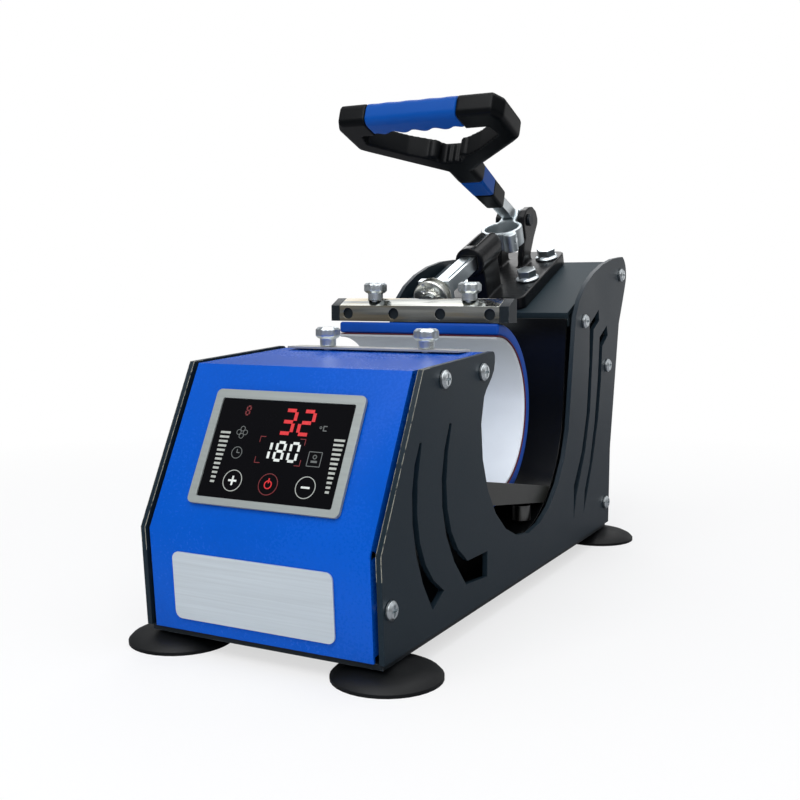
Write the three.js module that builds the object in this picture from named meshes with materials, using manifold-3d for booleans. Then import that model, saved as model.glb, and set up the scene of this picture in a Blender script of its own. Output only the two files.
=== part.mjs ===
// Mug heat press: a sheet-metal body with a round well, a silicone heating wrap held by
// two clamp bars, and a toggle lever that pushes the upper clamp bar along the sloped deck.
// Units are millimetres. X is to the right, Y to the rear and Z up, with Z zero on the table.
// Side outlines are drawn as Y and Z, measured from the centre line of the mug well.

import * as THREE from 'three';
import Module from 'manifold-3d';
import { mergeVertices } from 'three/addons/utils/BufferGeometryUtils.js';

const wasm = await Module();
wasm.setup();

// Fits
const gap = 0.3;
const overrun = 2;

// Facets: how many sides round pieces get
const finePieces = 40;
const roundSides = 24;
const smallSides = 12;
const arcSteps = 6;
const hexSides = 6;

// Body
const body = {
  halfWidth: 72,
  panelThick: 3,
  sideGap: 3,
  sheetThick: 1.5,
  flangeDepth: 13,
  bendRelief: 3,
  shortestRunShare: 3.5,
};

// Side panel outline
const panel = {
  bottomZ: 12.5,
  toeY: -190,
  bendY: -193.5,
  bendZ: 66,
  browY: -149.5,
  browZ: 150.5,
  noseY: -58.3,
  noseZ: 155.3,
  noseRound: 4,
  noseDropZ: 149,
  throatY: -74.5,
  throatZ: 126,
  throatRound: 10,
  frontTopY: 85,
  frontTopZ: 171.5,
  crestStartY: 94,
  crestStartZ: 196,
  crestMidY: 142,
  crestMidZ: 213.5,
  apexY: 196,
  apexZ: 215.7,
  tailY: 207,
  tailZ: 200,
  waistY: 190,
  waistZ: 165,
  heelY: 174,
  heelZ: 70,
  cornerRound: 3,
};

// Round well between the two towers
const well = {
  centreZ: 115.5,
  radius: 77,
  linerGap: 2.2,
};

// Panel screws, as places on the side outline
const screw = {
  headRadius: 4.9,
  headRise: 2.6,
  headCrown: 1.3,
  crownShare: 0.72,
  shankRadius: 2.4,
  recessWide: 1.3,
  recessLong: 5.6,
  recessDeep: 1.5,
  browPlace: [-126.5, 144.2],
  nosePlace: [-76.3, 144.6],
  toePlace: [-185, 38.5],
  deckPlace: [103, 168.5],
  backPlace: [159.7, 134.4],
  heelPlace: [163.2, 29.6],
  crestPlace: [190, 201.7],
};

// Cooling slots in the front tower
const frontVent = {
  outerTop: [-153.5, 115],
  outerMid: [-168, 97],
  outerLow: [-165, 58],
  outerToe: [-138, 26],
  innerToe: [-124.5, 33],
  innerMid: [-152, 47],
  innerHigh: [-164, 76],
  innerTop: [-151.3, 114.3],
};
const frontHook = {
  outerTop: [-118.8, 121],
  outerMid: [-134, 96],
  outerLow: [-134, 62],
  outerToe: [-96, 29],
  tail: [-66.5, 26.5],
  tailTop: [-66.5, 41.5],
  innerToe: [-94, 42],
  innerMid: [-124, 58],
  innerHigh: [-128, 90],
  innerTop: [-116.2, 120.2],
};

// Cooling slots in the rear tower, listed down the front edge and back up the rear edge
const rearVent = {
  front: [[137, 176], [116.5, 166], [117.5, 138], [113.5, 102], [104, 76], [88, 54], [89, 30]],
  rear: [[94, 46], [112.5, 76], [121.5, 104], [124.5, 140], [126, 162], [138.5, 168]],
};
const rearVentTwo = {
  front: [[158, 164], [141, 156], [138.5, 126], [133, 94], [123, 64], [113, 47], [111.5, 30.5]],
  rear: [[120, 46], [131, 68], [141.5, 96], [146.5, 124], [148, 149], [161, 156.5]],
};

// Sloped deck that carries the toggle clamp
const deck = {
  frontY: 84.7,
  frontZ: 174.5,
  angle: THREE.MathUtils.degToRad(22),
  apexInset: 19.5,
  thick: 3,
  lip: 10,
  flangeDepth: 19,
  flangeRelief: 10,
};

// Front cover, top shelf and other bent sheets
const cover = {
  seamY: -92,
  topInset: 0.8,
  shelfLip: 9,
  rearInset: 6,
};

// Base plate and suction feet
const base = {
  sidePast: 1,
  thick: 3,
  endInset: 2,
};
const foot = {
  radius: 28.4,
  sideInset: 6.3,
  frontInset: 15.7,
  rearInset: 4.3,
  neckRadius: 9.5,
  crownShares: [[1, 0.2], [0.93, 0.42], [0.8, 0.62], [0.62, 0.78], [0.44, 0.88]],
  hollowRadius: 22,
  hollowDepth: 3,
  hollowShares: [0.6, 0.8],
  studRadius: 3,
};

// Display on the sloped face and name plate on the lower face
const display = {
  low: 15.6,
  high: 79.1,
  sideInset: 23.4,
  cornerRound: 3,
  thick: 2.2,
  glassInsetSide: 5.2,
  glassInsetLow: 4.1,
  glassInsetHigh: 5.2,
  glassThick: 1.6,
  windowInset: 4,
};
const plate = {
  drop: 10.7,
  height: 36,
  sideInset: 20.6,
  sideShift: -2.8,
  cornerRound: 4,
  thick: 0.9,
};
const board = {
  sideInset: 7.6,
  length: 52,
  thick: 1.6,
  standoff: 6,
  standoffRadius: 2.6,
  standoffInset: 4,
  relayWide: 19,
  relayLong: 16,
  relayDeep: 15,
  relayX: 14,
};

// Heating wrap
const wrap = {
  centreY: -15.3,
  centreZ: 113,
  outerRadius: 56.5,
  liningThick: 2,
  innerRadius: 46.5,
  sideInset: 6,
  riserTopZ: 139.4,
};

// Cradle under the wrap
const cradle = {
  frontY: -69,
  frontZ: 70.1,
  rearY: 52.6,
  rearZ: 51.4,
  thick: 3,
  lipFront: 11.7,
  lipRear: 8,
  lipThick: 3,
  windowFront: 34.7,
  windowRear: 20.3,
  boltRadius: 6.2,
  boltInset: 8,
  boltY: 22.5,
};

// Lower clamp bar, fixed on the front tower
const lower = {
  sideInset: 4,
  barFrontY: -75,
  barDepth: 15.5,
  barHeight: 11,
  stripThick: 1.2,
  stripInset: 5,
  knobInset: 29,
};

// Upper clamp bar, carried by the push rod
const upper = {
  frontY: -14.3,
  bottomZ: 169.9,
  depth: 13,
  faceHeight: 10,
  bevelDepth: 9,
  height: 14.7,
  skin: 1.5,
  capWidth: 6,
  holeRadius: 3.6,
  holeInset: 6.3,
  holeInnerShare: 0.33,
  knobInset: 22.9,
  knobBack: 7.2,
};

// Thumb knobs of both clamp bars
const knob = {
  radius: 7.5,
  headThick: 6.8,
  headBevel: 1.5,
  lobes: 6,
  lobeDepth: 1.2,
  neckRadius: 4.9,
  neckHeight: 4.6,
  studRadius: 2.6,
  studLength: 9,
};

// Toggle clamp, in the deck's own frame: Y runs up the slope and Z stands square to it
const clamp = {
  axisRise: 38.4,
  flangeHalf: 33,
  flangeStart: 4,
  flangeEnd: 100,
  flangeThick: 9,
  flangeRound: 6,
  barrelRadius: 10.6,
  barrelStart: -3.6,
  barrelEnd: 31,
  webHalf: 7,
  earThick: 5,
  earInner: 6.6,
  earFootFront: 24,
  earFootRear: 5,
  earOutline: [
    [-4, -25.4], [7, -15.9], [17.5, -8.9], [19, -4.4], [17, 1.6], [11.5, 6.6],
    [5, 8.6], [-3, 8.6], [-9, 5.6], [-11.2, 0], [-11.2, -10.7], [-15.5, -13.5], [-20, -22],
  ],
  pivotAlong: 88,
  pinRadius: 3.4,
  boltX: 23.5,
  boltFront: 41,
  boltRear: 84.3,
};
const bolt = {
  flangeRadius: 8.6,
  flangeThick: 2,
  hexRadius: 7.2,
  hexHeight: 5.3,
  shankRadius: 3.8,
};

// Push rod, its bracket and the pressure disc
const rod = {
  halfWidth: 5.5,
  halfHeight: 4.5,
  front: -56,
  rearPast: 6,
  groovePlace: 2,
  grooveWide: 1.5,
  grooveDeep: 2,
  spindleRadius: 3.8,
  spindleFront: -73,
  slotHalf: 2.6,
};
const bracket = {
  halfWidth: 11,
  thick: 5,
  topRise: 9,
  footThick: 2.6,
};
const disc = {
  radius: 12,
  thick: 7.5,
  hubRadius: 5.6,
  hubRise: 2.2,
  flutes: 30,
  fluteDeep: 0.5,
  front: -69.7,
};

// Toggle link between the push rod and the lever yoke
const link = {
  halfThick: 2.25,
  eyeRadius: 4,
  armShare: 0.8,
  pinRadius: 2,
  yokeAlong: 49.5,
  yokeRise: 36,
  rodAlong: 7.5,
  slack: 5.6,
};

// Lever yoke: a ring with a boss in front and a lug on the fork pin
const yoke = {
  ringAlong: 61,
  ringOuter: 15.4,
  ringInner: 12.4,
  bottomRise: 28.5,
  topRise: 42,
  bossRadius: 5,
  bossX: 10.8,
  lugHalf: 6.2,
  lugRadius: 8.6,
  shoulderHalf: 8.5,
  shoulderStart: 68,
  shoulderEnd: 76,
  socketReach: 10,
  socketHalf: 5.4,
};

// Lever bar and D handle, in the lever's own frame: distances are along the lever
const lever = {
  lean: THREE.MathUtils.degToRad(18.5),
  barHalfWidth: 3,
  barHalfThick: 4,
  barStart: 6,
  barEnd: 96,
};
const handle = {
  collarStart: 39,
  bandStart: 62,
  bandEnd: 85,
  stemHalf: 8.8,
  stemEndHalf: 6.6,
  stemHalfThick: 7,
  stemBevel: 1.4,
  bandInset: 1.2,
  neckHalf: 9.6,
  neckAt: 103,
  top: 181,
  halfWidth: 57,
  halfThick: 7.2,
  bevel: 3,
  gripLeft: 34,
  gripRight: 29,
  gripSkin: 2,
  gripProud: 0.2,
  gripHalfThick: 7.5,
  gripRound: 4.6,
  gripWave: 1.8,
  gripWaves: 3,
};

// Outline of the D and its hole: share of its half width, and share of the way from neck to top
const handleShares = [[0.53, 0.225], [0.91, 0.462], [1, 0.526], [1, 0.885], [0.92, 1]];
const holeShares = [[0.1, 0.192], [0.23, 0.295], [0.456, 0.397], [0.807, 0.628], [0.77, 0.769]];

// Mains inlet and rocker switch on the back
const inlet = {
  centreX: -22,
  centreZ: 44,
  halfWidth: 14,
  halfHeight: 24,
  flange: 3,
  flangeThick: 2,
  bodyDepth: 22,
  socketHalfWidth: 11,
  socketHalfHeight: 8.2,
  socketDeep: 14,
  socketDrop: 9,
  pinHalf: 1,
  pinHigh: 2,
  pinSpread: 6.5,
  rockerHalfWidth: 9.5,
  rockerHalfHeight: 6.2,
  rockerRise: 12.5,
  rockerDeep: 8,
  rockerTilt: 2,
};

// Finishes
const finish = (color, roughness, metalness) =>
  new THREE.MeshStandardMaterial({ color, roughness, metalness });
const blackPaint = () => finish(0x20242a, 0.5, 0.2);
const bluePaint = () => finish(0x1b56c8, 0.4, 0.1);
const blackPlastic = () => finish(0x121315, 0.6, 0);
const bluePlastic = () => finish(0x1450c4, 0.55, 0);
const rubber = () => finish(0x111214, 0.8, 0);
const chrome = () => finish(0xd5d8da, 0.12, 1);
const zinc = () => finish(0xaab3b8, 0.35, 1);
const castIron = () => finish(0x15171a, 0.45, 0.4);
const blueSilicone = () => finish(0x0c3fb4, 0.55, 0);
const whiteLining = () => finish(0xd9dbde, 0.7, 0);
const silverFoil = () => finish(0xc9ccd0, 0.35, 0.7);
const greyBezel = () => finish(0x8f9499, 0.5, 0.3);
const glass = () => finish(0x08090b, 0.08, 0);
const boardGreen = () => finish(0x1c5a34, 0.6, 0);

// Solids for joining and cutting
function solid(geometry) {
  const plain = geometry.clone();
  plain.deleteAttribute('normal');
  plain.deleteAttribute('uv');
  const merged = mergeVertices(plain);
  const vertProperties = new Float32Array(merged.attributes.position.array);
  const triVerts = new Uint32Array(merged.index.array);
  return new wasm.Manifold(new wasm.Mesh({ numProp: 3, vertProperties, triVerts }));
}

function geometryOf(shape) {
  const mesh = shape.getMesh();
  const geometry = new THREE.BufferGeometry();
  geometry.setAttribute('position', new THREE.BufferAttribute(mesh.vertProperties, 3));
  geometry.setIndex(new THREE.BufferAttribute(mesh.triVerts, 1));
  geometry.computeVertexNormals();
  return geometry;
}

function joined(geometries) {
  return geometries.slice(1).reduce((sum, g) => sum.add(solid(g)), solid(geometries[0]));
}

function cutFrom(shape, geometries) {
  return geometries.reduce((rest, g) => rest.subtract(solid(g)), shape);
}

// Outlines
function outline(points) {
  return new THREE.Shape(points.map(([a, b]) => new THREE.Vector2(a, b)));
}

function rounded(shape, halfWidth, halfHeight, radius, centreX, centreY) {
  const left = centreX - halfWidth;
  const right = centreX + halfWidth;
  const low = centreY - halfHeight;
  const high = centreY + halfHeight;
  shape.moveTo(left + radius, low);
  shape.lineTo(right - radius, low);
  shape.absarc(right - radius, low + radius, radius, -Math.PI / 2, 0, false);
  shape.lineTo(right, high - radius);
  shape.absarc(right - radius, high - radius, radius, 0, Math.PI / 2, false);
  shape.lineTo(left + radius, high);
  shape.absarc(left + radius, high - radius, radius, Math.PI / 2, Math.PI, false);
  shape.lineTo(left, low + radius);
  shape.absarc(left + radius, low + radius, radius, Math.PI, Math.PI * 1.5, false);
  return shape;
}

function disk(radius, sides) {
  const points = [];
  for (let i = 0; i < sides; i += 1) {
    const turn = (2 * Math.PI * i) / sides;
    points.push([radius * Math.cos(turn), radius * Math.sin(turn)]);
  }
  return points;
}

// A bent sheet seen from its edge: the outer path and the same path set in by its thickness
function bentStrip(path, thick) {
  const inner = path.map(([a, b], i) => {
    const before = path[Math.max(i - 1, 0)];
    const after = path[Math.min(i + 1, path.length - 1)];
    const one = new THREE.Vector2(a - before[0], b - before[1]);
    const two = new THREE.Vector2(after[0] - a, after[1] - b);
    if (i === 0) one.copy(two);
    if (i === path.length - 1) two.copy(one);
    one.normalize();
    two.normalize();
    const normal = new THREE.Vector2(one.y + two.y, -one.x - two.x).normalize();
    const spread = normal.x * one.y - normal.y * one.x;
    return [a + (normal.x * thick) / spread, b + (normal.y * thick) / spread];
  });
  return outline([...path, ...inner.reverse()]);
}

// Extrusions: across the body, upwards, or along a line
const sideways = new THREE.Matrix4().makeBasis(
  new THREE.Vector3(0, 1, 0),
  new THREE.Vector3(0, 0, 1),
  new THREE.Vector3(1, 0, 0),
);

function across(shape, fromX, toX, steps = arcSteps) {
  const geometry = new THREE.ExtrudeGeometry(shape, {
    depth: toX - fromX,
    bevelEnabled: false,
    curveSegments: steps,
  });
  return geometry.applyMatrix4(sideways).translate(fromX, 0, 0);
}

function upright(shape, fromZ, toZ, steps = arcSteps) {
  const geometry = new THREE.ExtrudeGeometry(shape, {
    depth: toZ - fromZ,
    bevelEnabled: false,
    curveSegments: steps,
  });
  return geometry.translate(0, 0, fromZ);
}

function block(fromX, toX, fromY, toY, fromZ, toZ) {
  const geometry = new THREE.BoxGeometry(toX - fromX, toY - fromY, toZ - fromZ);
  return geometry.translate((fromX + toX) / 2, (fromY + toY) / 2, (fromZ + toZ) / 2);
}

function barX(radius, fromX, toX, y, z, sides = roundSides) {
  return across(outline(disk(radius, sides)), fromX, toX).translate(0, y, z);
}

function barZ(radius, fromZ, toZ, x, y, sides = roundSides) {
  return upright(outline(disk(radius, sides)), fromZ, toZ).translate(x, y, 0);
}

function barY(radius, fromY, toY, x, z, sides = roundSides) {
  const geometry = upright(outline(disk(radius, sides)), -toY, -fromY);
  return geometry.rotateX(Math.PI / 2).translate(x, 0, z);
}

function turned(profile, sides) {
  const points = profile.map(([radius, height]) => new THREE.Vector2(radius, height));
  return new THREE.LatheGeometry(points, sides).rotateX(Math.PI / 2);
}

function addPiece(parent, name, geometry, material) {
  const piece = new THREE.Mesh(geometry, material);
  piece.name = name;
  parent.add(piece);
  return piece;
}

// Frames. The whole press is moved so that the origin lies under the middle of its length.
const baseFrontY = panel.toeY + base.endInset;
const baseRearY = panel.heelY - base.endInset;
const footFrontY = baseFrontY + foot.frontInset;
const footRearY = baseRearY - foot.rearInset;
const frontReach = footFrontY - foot.radius;
const rearReach = panel.tailY;
const group = new THREE.Group();
const press = new THREE.Group();
press.position.set(0, -(frontReach + rearReach) / 2, 0);
group.add(press);

const deckFrame = new THREE.Group();
deckFrame.position.set(0, deck.frontY, deck.frontZ);
deckFrame.rotation.x = deck.angle;
press.add(deckFrame);

const leverFrame = new THREE.Group();
leverFrame.position.set(0, clamp.pivotAlong, clamp.axisRise);
leverFrame.rotation.x = -(lever.lean + deck.angle);
deckFrame.add(leverFrame);

// Widths that follow from the body's width
const innerFace = body.halfWidth - body.panelThick;
const sheetHalf = innerFace - body.sideGap;
const baseHalf = innerFace + base.sidePast;
const footX = baseHalf - foot.sideInset;
const displayHalf = innerFace - display.sideInset;
const plateHalf = innerFace - plate.sideInset;
const boardHalf = displayHalf - board.sideInset;
const lowerHalf = sheetHalf - lower.sideInset;
const wrapHalf = lowerHalf - wrap.sideInset;
const channelHalf = wrapHalf + gap;
const lowerKnobX = lowerHalf - lower.knobInset;
const upperKnobX = channelHalf - upper.knobInset;

// Length of the sloped deck, up to a little in front of the panels' highest point
const deckLength = (panel.apexY - deck.apexInset - deck.frontY) / Math.cos(deck.angle);

// Side panels
function panelOutline() {
  const shape = new THREE.Shape();
  shape.moveTo(panel.toeY, panel.bottomZ);
  shape.lineTo(panel.heelY, panel.bottomZ);
  shape.lineTo(panel.heelY, panel.heelZ);
  shape.lineTo(panel.waistY, panel.waistZ);
  shape.quadraticCurveTo(panel.tailY, panel.tailZ - panel.noseRound, panel.tailY, panel.tailZ);
  shape.quadraticCurveTo(panel.tailY, panel.apexZ - panel.noseRound, panel.apexY, panel.apexZ);
  shape.bezierCurveTo(
    panel.crestMidY, panel.crestMidZ, panel.crestStartY, panel.crestStartZ,
    panel.frontTopY, panel.frontTopZ,
  );
  shape.lineTo(well.radius, well.centreZ);
  shape.absarc(0, well.centreZ, well.radius, 0, -Math.PI, true);
  shape.quadraticCurveTo(
    -well.radius, panel.throatZ - panel.throatRound, panel.throatY, panel.throatZ,
  );
  shape.bezierCurveTo(
    panel.throatY, panel.throatZ + panel.throatRound,
    panel.noseY, panel.noseDropZ - panel.throatRound, panel.noseY, panel.noseDropZ,
  );
  shape.lineTo(panel.noseY, panel.noseZ - panel.noseRound);
  shape.quadraticCurveTo(panel.noseY, panel.noseZ, panel.noseY - panel.noseRound, panel.noseZ);
  shape.lineTo(panel.browY, panel.browZ);
  shape.lineTo(panel.bendY, panel.bendZ);
  return shape;
}

function ventPath(start, curves) {
  const path = new THREE.Path();
  path.moveTo(...start);
  curves.forEach(([c1, c2, end]) => path.bezierCurveTo(...c1, ...c2, ...end));
  path.closePath();
  return path;
}

function ventHoles() {
  const v = frontVent;
  const h = frontHook;
  const slim = ventPath(v.outerTop, [
    [v.outerMid, v.outerLow, v.outerToe],
    [v.outerToe, v.innerToe, v.innerToe],
    [v.innerMid, v.innerHigh, v.innerTop],
  ]);
  const hook = ventPath(h.outerTop, [
    [h.outerMid, h.outerLow, h.outerToe],
    [h.outerToe, h.tail, h.tail],
    [h.tail, h.tailTop, h.tailTop],
    [h.tailTop, h.innerToe, h.innerToe],
    [h.innerMid, h.innerHigh, h.innerTop],
  ]);
  const rear = [rearVent, rearVentTwo].map(({ front, rear: back }) => {
    const path = new THREE.Path();
    [...front, ...back].forEach(([y, z], i) => (i ? path.lineTo(y, z) : path.moveTo(y, z)));
    path.closePath();
    return path;
  });
  return [slim, hook, ...rear];
}

const screwPlaces = {
  brow: screw.browPlace,
  nose: screw.nosePlace,
  toe: screw.toePlace,
  deck: screw.deckPlace,
  back: screw.backPlace,
  heel: screw.heelPlace,
  crest: screw.crestPlace,
};

function makePanels() {
  const shape = panelOutline();
  shape.holes.push(...ventHoles());
  Object.values(screwPlaces).forEach(([y, z]) => {
    const bore = disk(screw.shankRadius + gap, smallSides).map(([a, b]) => [a + y, b + z]);
    shape.holes.push(outline(bore));
  });
  addPiece(press, 'side_panel_right', across(shape, innerFace, body.halfWidth), blackPaint());
  addPiece(press, 'side_panel_left', across(shape, -body.halfWidth, -innerFace), blackPaint());
}

// Pan-head screws with a cross recess
function screwGeometry() {
  const seat = body.halfWidth + gap;
  const tip = sheetHalf + gap;
  const head = turned([
    [0, seat],
    [screw.headRadius, seat],
    [screw.headRadius, seat + screw.headCrown],
    [screw.headRadius * screw.crownShare, seat + screw.headRise],
    [0, seat + screw.headRise],
  ], smallSides + arcSteps);
  const shank = barZ(screw.shankRadius, tip, seat + screw.headCrown, 0, 0, smallSides);
  const top = seat + screw.headRise + overrun;
  const floor = seat + screw.headRise - screw.recessDeep;
  const long = screw.recessLong / 2;
  const wide = screw.recessWide / 2;
  const cross = [
    block(-long, long, -wide, wide, floor, top),
    block(-wide, wide, -long, long, floor, top),
  ];
  return geometryOf(cutFrom(joined([head, shank]), cross));
}

function makeScrews() {
  const geometry = screwGeometry();
  Object.entries(screwPlaces).forEach(([place, [y, z]]) => {
    [['right', 1], ['left', -1]].forEach(([side, sign]) => {
      const piece = addPiece(press, `panel_screw_${side}_${place}`, geometry, zinc());
      piece.position.set(0, y, z);
      piece.rotation.y = (sign * Math.PI) / 2;
    });
  });
}

// Bent sheets: a strip across the body with a side flange on each straight run
function sheetWithFlanges(path, thick, depth, relief, half) {
  const strips = [across(bentStrip(path, thick), -half, half)];
  path.slice(1).forEach((end, i) => {
    const start = path[i];
    const run = new THREE.Vector2(end[0] - start[0], end[1] - start[1]);
    if (run.length() < relief * body.shortestRunShare) return;
    const step = run.clone().setLength(relief);
    const inward = new THREE.Vector2(run.y, -run.x);
    const shallow = inward.clone().setLength(thick / 2);
    const deep = inward.clone().setLength(depth);
    const from = new THREE.Vector2(...start).add(step);
    const to = new THREE.Vector2(...end).sub(step);
    const corners = [from.clone().add(shallow), to.clone().add(shallow)];
    corners.push(to.clone().add(deep), from.clone().add(deep));
    const tab = outline(corners.map((c) => [c.x, c.y]));
    strips.push(across(tab, half - thick, half), across(tab, -half, thick - half));
  });
  return joined(strips);
}

// Points on the front cover's path, a little inside the panel's edge
const baseTop = panel.bottomZ - gap;
const topSlope = (panel.noseZ - panel.browZ) / (panel.noseY - panel.browY);
const topZ = (y) => panel.browZ - cover.topInset + (y - panel.browY) * topSlope;
const coverPath = [
  [panel.toeY, baseTop + gap],
  [panel.bendY, panel.bendZ],
  [panel.browY, panel.browZ - cover.topInset],
  [cover.seamY - gap, topZ(cover.seamY - gap)],
];

const faceRun = new THREE.Vector2(panel.browY - panel.bendY, panel.browZ - panel.bendZ);
const faceLean = Math.atan2(-faceRun.x, faceRun.y);
const faceFrame = new THREE.Group();
faceFrame.position.set(0, panel.bendY, panel.bendZ);
faceFrame.rotation.x = faceLean + Math.PI / 2;
press.add(faceFrame);

const skirtRun = new THREE.Vector2(panel.bendY - panel.toeY, panel.bendZ - panel.bottomZ);
const skirtLean = Math.atan2(-skirtRun.x, skirtRun.y);
const skirtFrame = new THREE.Group();
skirtFrame.position.set(0, panel.bendY, panel.bendZ);
skirtFrame.rotation.x = skirtLean + Math.PI / 2;
press.add(skirtFrame);

function makeFrontCover() {
  const windowLow = display.low + display.glassInsetLow + display.windowInset;
  const windowHigh = display.high - display.glassInsetHigh - display.windowInset;
  const windowHalf = displayHalf - display.glassInsetSide - display.windowInset;
  const opening = block(
    -windowHalf, windowHalf, windowLow, windowHigh, -overrun * 2, overrun,
  );
  opening.rotateX(faceLean + Math.PI / 2).translate(0, panel.bendY, panel.bendZ);
  const sheet = sheetWithFlanges(
    coverPath, body.sheetThick, body.flangeDepth, body.bendRelief, sheetHalf,
  );
  addPiece(press, 'front_cover', geometryOf(cutFrom(sheet, [opening])), bluePaint());
}

const shelfRearY = panel.noseY - gap;

function makeTopShelf() {
  const path = [
    [cover.seamY + gap, topZ(cover.seamY + gap)],
    [shelfRearY, topZ(shelfRearY)],
    [shelfRearY, topZ(shelfRearY) - cover.shelfLip],
  ];
  const sheet = sheetWithFlanges(
    path, body.sheetThick, body.flangeDepth, body.bendRelief, sheetHalf,
  );
  const knobY = lower.barFrontY + lower.barDepth / 2;
  const bores = [-1, 1].map((sign) => barZ(
    knob.studRadius + gap, topZ(knobY) - overrun * 2, topZ(knobY) + overrun,
    sign * lowerKnobX, knobY, smallSides,
  ));
  addPiece(press, 'top_shelf', geometryOf(cutFrom(sheet, bores)), bluePaint());
}

function makeWellLiner() {
  const outer = well.radius + well.linerGap;
  const shape = new THREE.Shape();
  const topFront = topZ(-outer) - body.flangeDepth - body.sheetThick;
  const topRear = deck.frontZ - deck.thick - gap * 3;
  const rearLean = deck.frontY - body.sheetThick - gap;
  shape.moveTo(-outer, topFront);
  shape.lineTo(-outer, well.centreZ);
  shape.absarc(0, well.centreZ, outer, -Math.PI, 0, false);
  shape.lineTo(rearLean, topRear);
  shape.lineTo(rearLean + body.sheetThick, topRear);
  shape.lineTo(outer + body.sheetThick, well.centreZ);
  shape.absarc(0, well.centreZ, outer + body.sheetThick, 0, -Math.PI, true);
  shape.lineTo(-outer - body.sheetThick, topFront);
  const half = sheetHalf;
  addPiece(press, 'well_liner', across(shape, -half, half, roundSides), blackPaint());
}

function makeDeck() {
  const path = [
    [0, -deck.lip],
    [0, 0],
    [deckLength, 0],
  ];
  const sheet = sheetWithFlanges(
    path, deck.thick, deck.flangeDepth, deck.flangeRelief, sheetHalf,
  );
  addPiece(deckFrame, 'lever_deck', geometryOf(cutFrom(sheet, boltBores())), blackPaint());
}

function boltPlaces() {
  const places = [];
  [['front', clamp.boltFront], ['rear', clamp.boltRear]].forEach(([row, along]) => {
    [['right', 1], ['left', -1]].forEach(([side, sign]) => {
      places.push({ name: `${row}_${side}`, x: sign * clamp.boltX, along });
    });
  });
  return places;
}

function boltBores() {
  return boltPlaces().map(({ x, along }) => barZ(
    bolt.shankRadius + gap, -deck.thick - overrun, clamp.flangeThick + overrun, x, along, smallSides,
  ));
}

function makeRearCover() {
  const inset = cover.rearInset;
  const [topY] = deckPoint(deckLength, -deck.thick);
  const [, topRise] = deckPoint(deckLength, 0);
  const path = [
    [topY + gap * 2, topRise],
    [panel.apexY - inset, topRise - inset / 2],
    [panel.tailY - inset, panel.tailZ - inset / 2],
    [panel.waistY - inset, panel.waistZ],
    [panel.heelY - inset, panel.heelZ],
    [panel.heelY - inset, baseTop + gap],
  ];
  const sheet = sheetWithFlanges(
    path, body.sheetThick, body.flangeDepth, body.bendRelief, sheetHalf,
  );
  const hole = block(
    inlet.centreX - inlet.halfWidth - gap, inlet.centreX + inlet.halfWidth + gap,
    panel.heelY - inset - body.sheetThick * 2, panel.heelY,
    inlet.centreZ - inlet.halfHeight - gap, inlet.centreZ + inlet.halfHeight + gap,
  );
  addPiece(press, 'rear_cover', geometryOf(cutFrom(sheet, [hole])), blackPaint());
}

function footPlaces() {
  const places = [];
  [['front', footFrontY], ['rear', footRearY]].forEach(([row, y]) => {
    [['right', 1], ['left', -1]].forEach(([side, sign]) => {
      places.push({ name: `${row}_${side}`, x: sign * footX, y });
    });
  });
  return places;
}

function makeBasePlate() {
  const plateBottom = baseTop - base.thick;
  const slab = block(
    -baseHalf, baseHalf, baseFrontY, baseRearY, plateBottom, baseTop,
  );
  const bores = footPlaces().map(({ x, y }) => barZ(
    foot.studRadius + gap, plateBottom - overrun, baseTop + overrun, x, y, smallSides,
  ));
  addPiece(press, 'base_plate', geometryOf(cutFrom(solid(slab), bores)), blackPaint());
}

// Suction cup with a hollow underside, a neck and a moulded-in stud
function makeFeet() {
  const neckTop = baseTop - base.thick - gap;
  const studTop = baseTop - gap;
  const [shareOut, shareUp] = foot.hollowShares;
  const crown = foot.crownShares.map(([out, up]) => [foot.radius * out, neckTop * up]);
  const geometry = turned([
    [0, foot.hollowDepth],
    [foot.hollowRadius * shareOut, foot.hollowDepth * shareUp],
    [foot.hollowRadius, 0],
    [foot.radius, 0],
    ...crown,
    [foot.neckRadius, neckTop],
    [foot.studRadius, neckTop],
    [foot.studRadius, studTop],
    [0, studTop],
  ], roundSides + arcSteps * 2);
  footPlaces().forEach(({ name, x, y }) => {
    const piece = addPiece(press, `suction_foot_${name}`, geometry, rubber());
    piece.position.set(x, y, 0);
  });
}

// Display: a grey bezel on the sloped face, with black touch glass in it
function makeDisplay() {
  const middle = (display.low + display.high) / 2;
  const tall = (display.high - display.low) / 2;
  const glassLow = display.low + display.glassInsetLow;
  const glassHigh = display.high - display.glassInsetHigh;
  const glassHalf = displayHalf - display.glassInsetSide;
  const glassMiddle = (glassLow + glassHigh) / 2;
  const glassTall = (glassHigh - glassLow) / 2;
  const round = display.cornerRound;
  const frame = rounded(new THREE.Shape(), displayHalf, tall, round, 0, middle);
  const hole = rounded(
    new THREE.Path(), glassHalf + gap, glassTall + gap, round / 3, 0, glassMiddle,
  );
  frame.holes.push(hole);
  addPiece(faceFrame, 'display_bezel', upright(frame, gap, display.thick), greyBezel());
  const pane = rounded(new THREE.Shape(), glassHalf, glassTall, round / 3, 0, glassMiddle);
  addPiece(faceFrame, 'display_glass', upright(pane, gap, display.glassThick), glass());
}

function makeNamePlate() {
  const middle = -(plate.drop + plate.height / 2);
  const shape = rounded(
    new THREE.Shape(), plateHalf, plate.height / 2, plate.cornerRound, plate.sideShift, middle,
  );
  addPiece(skirtFrame, 'name_plate', upright(shape, gap, gap + plate.thick), silverFoil());
}

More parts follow.
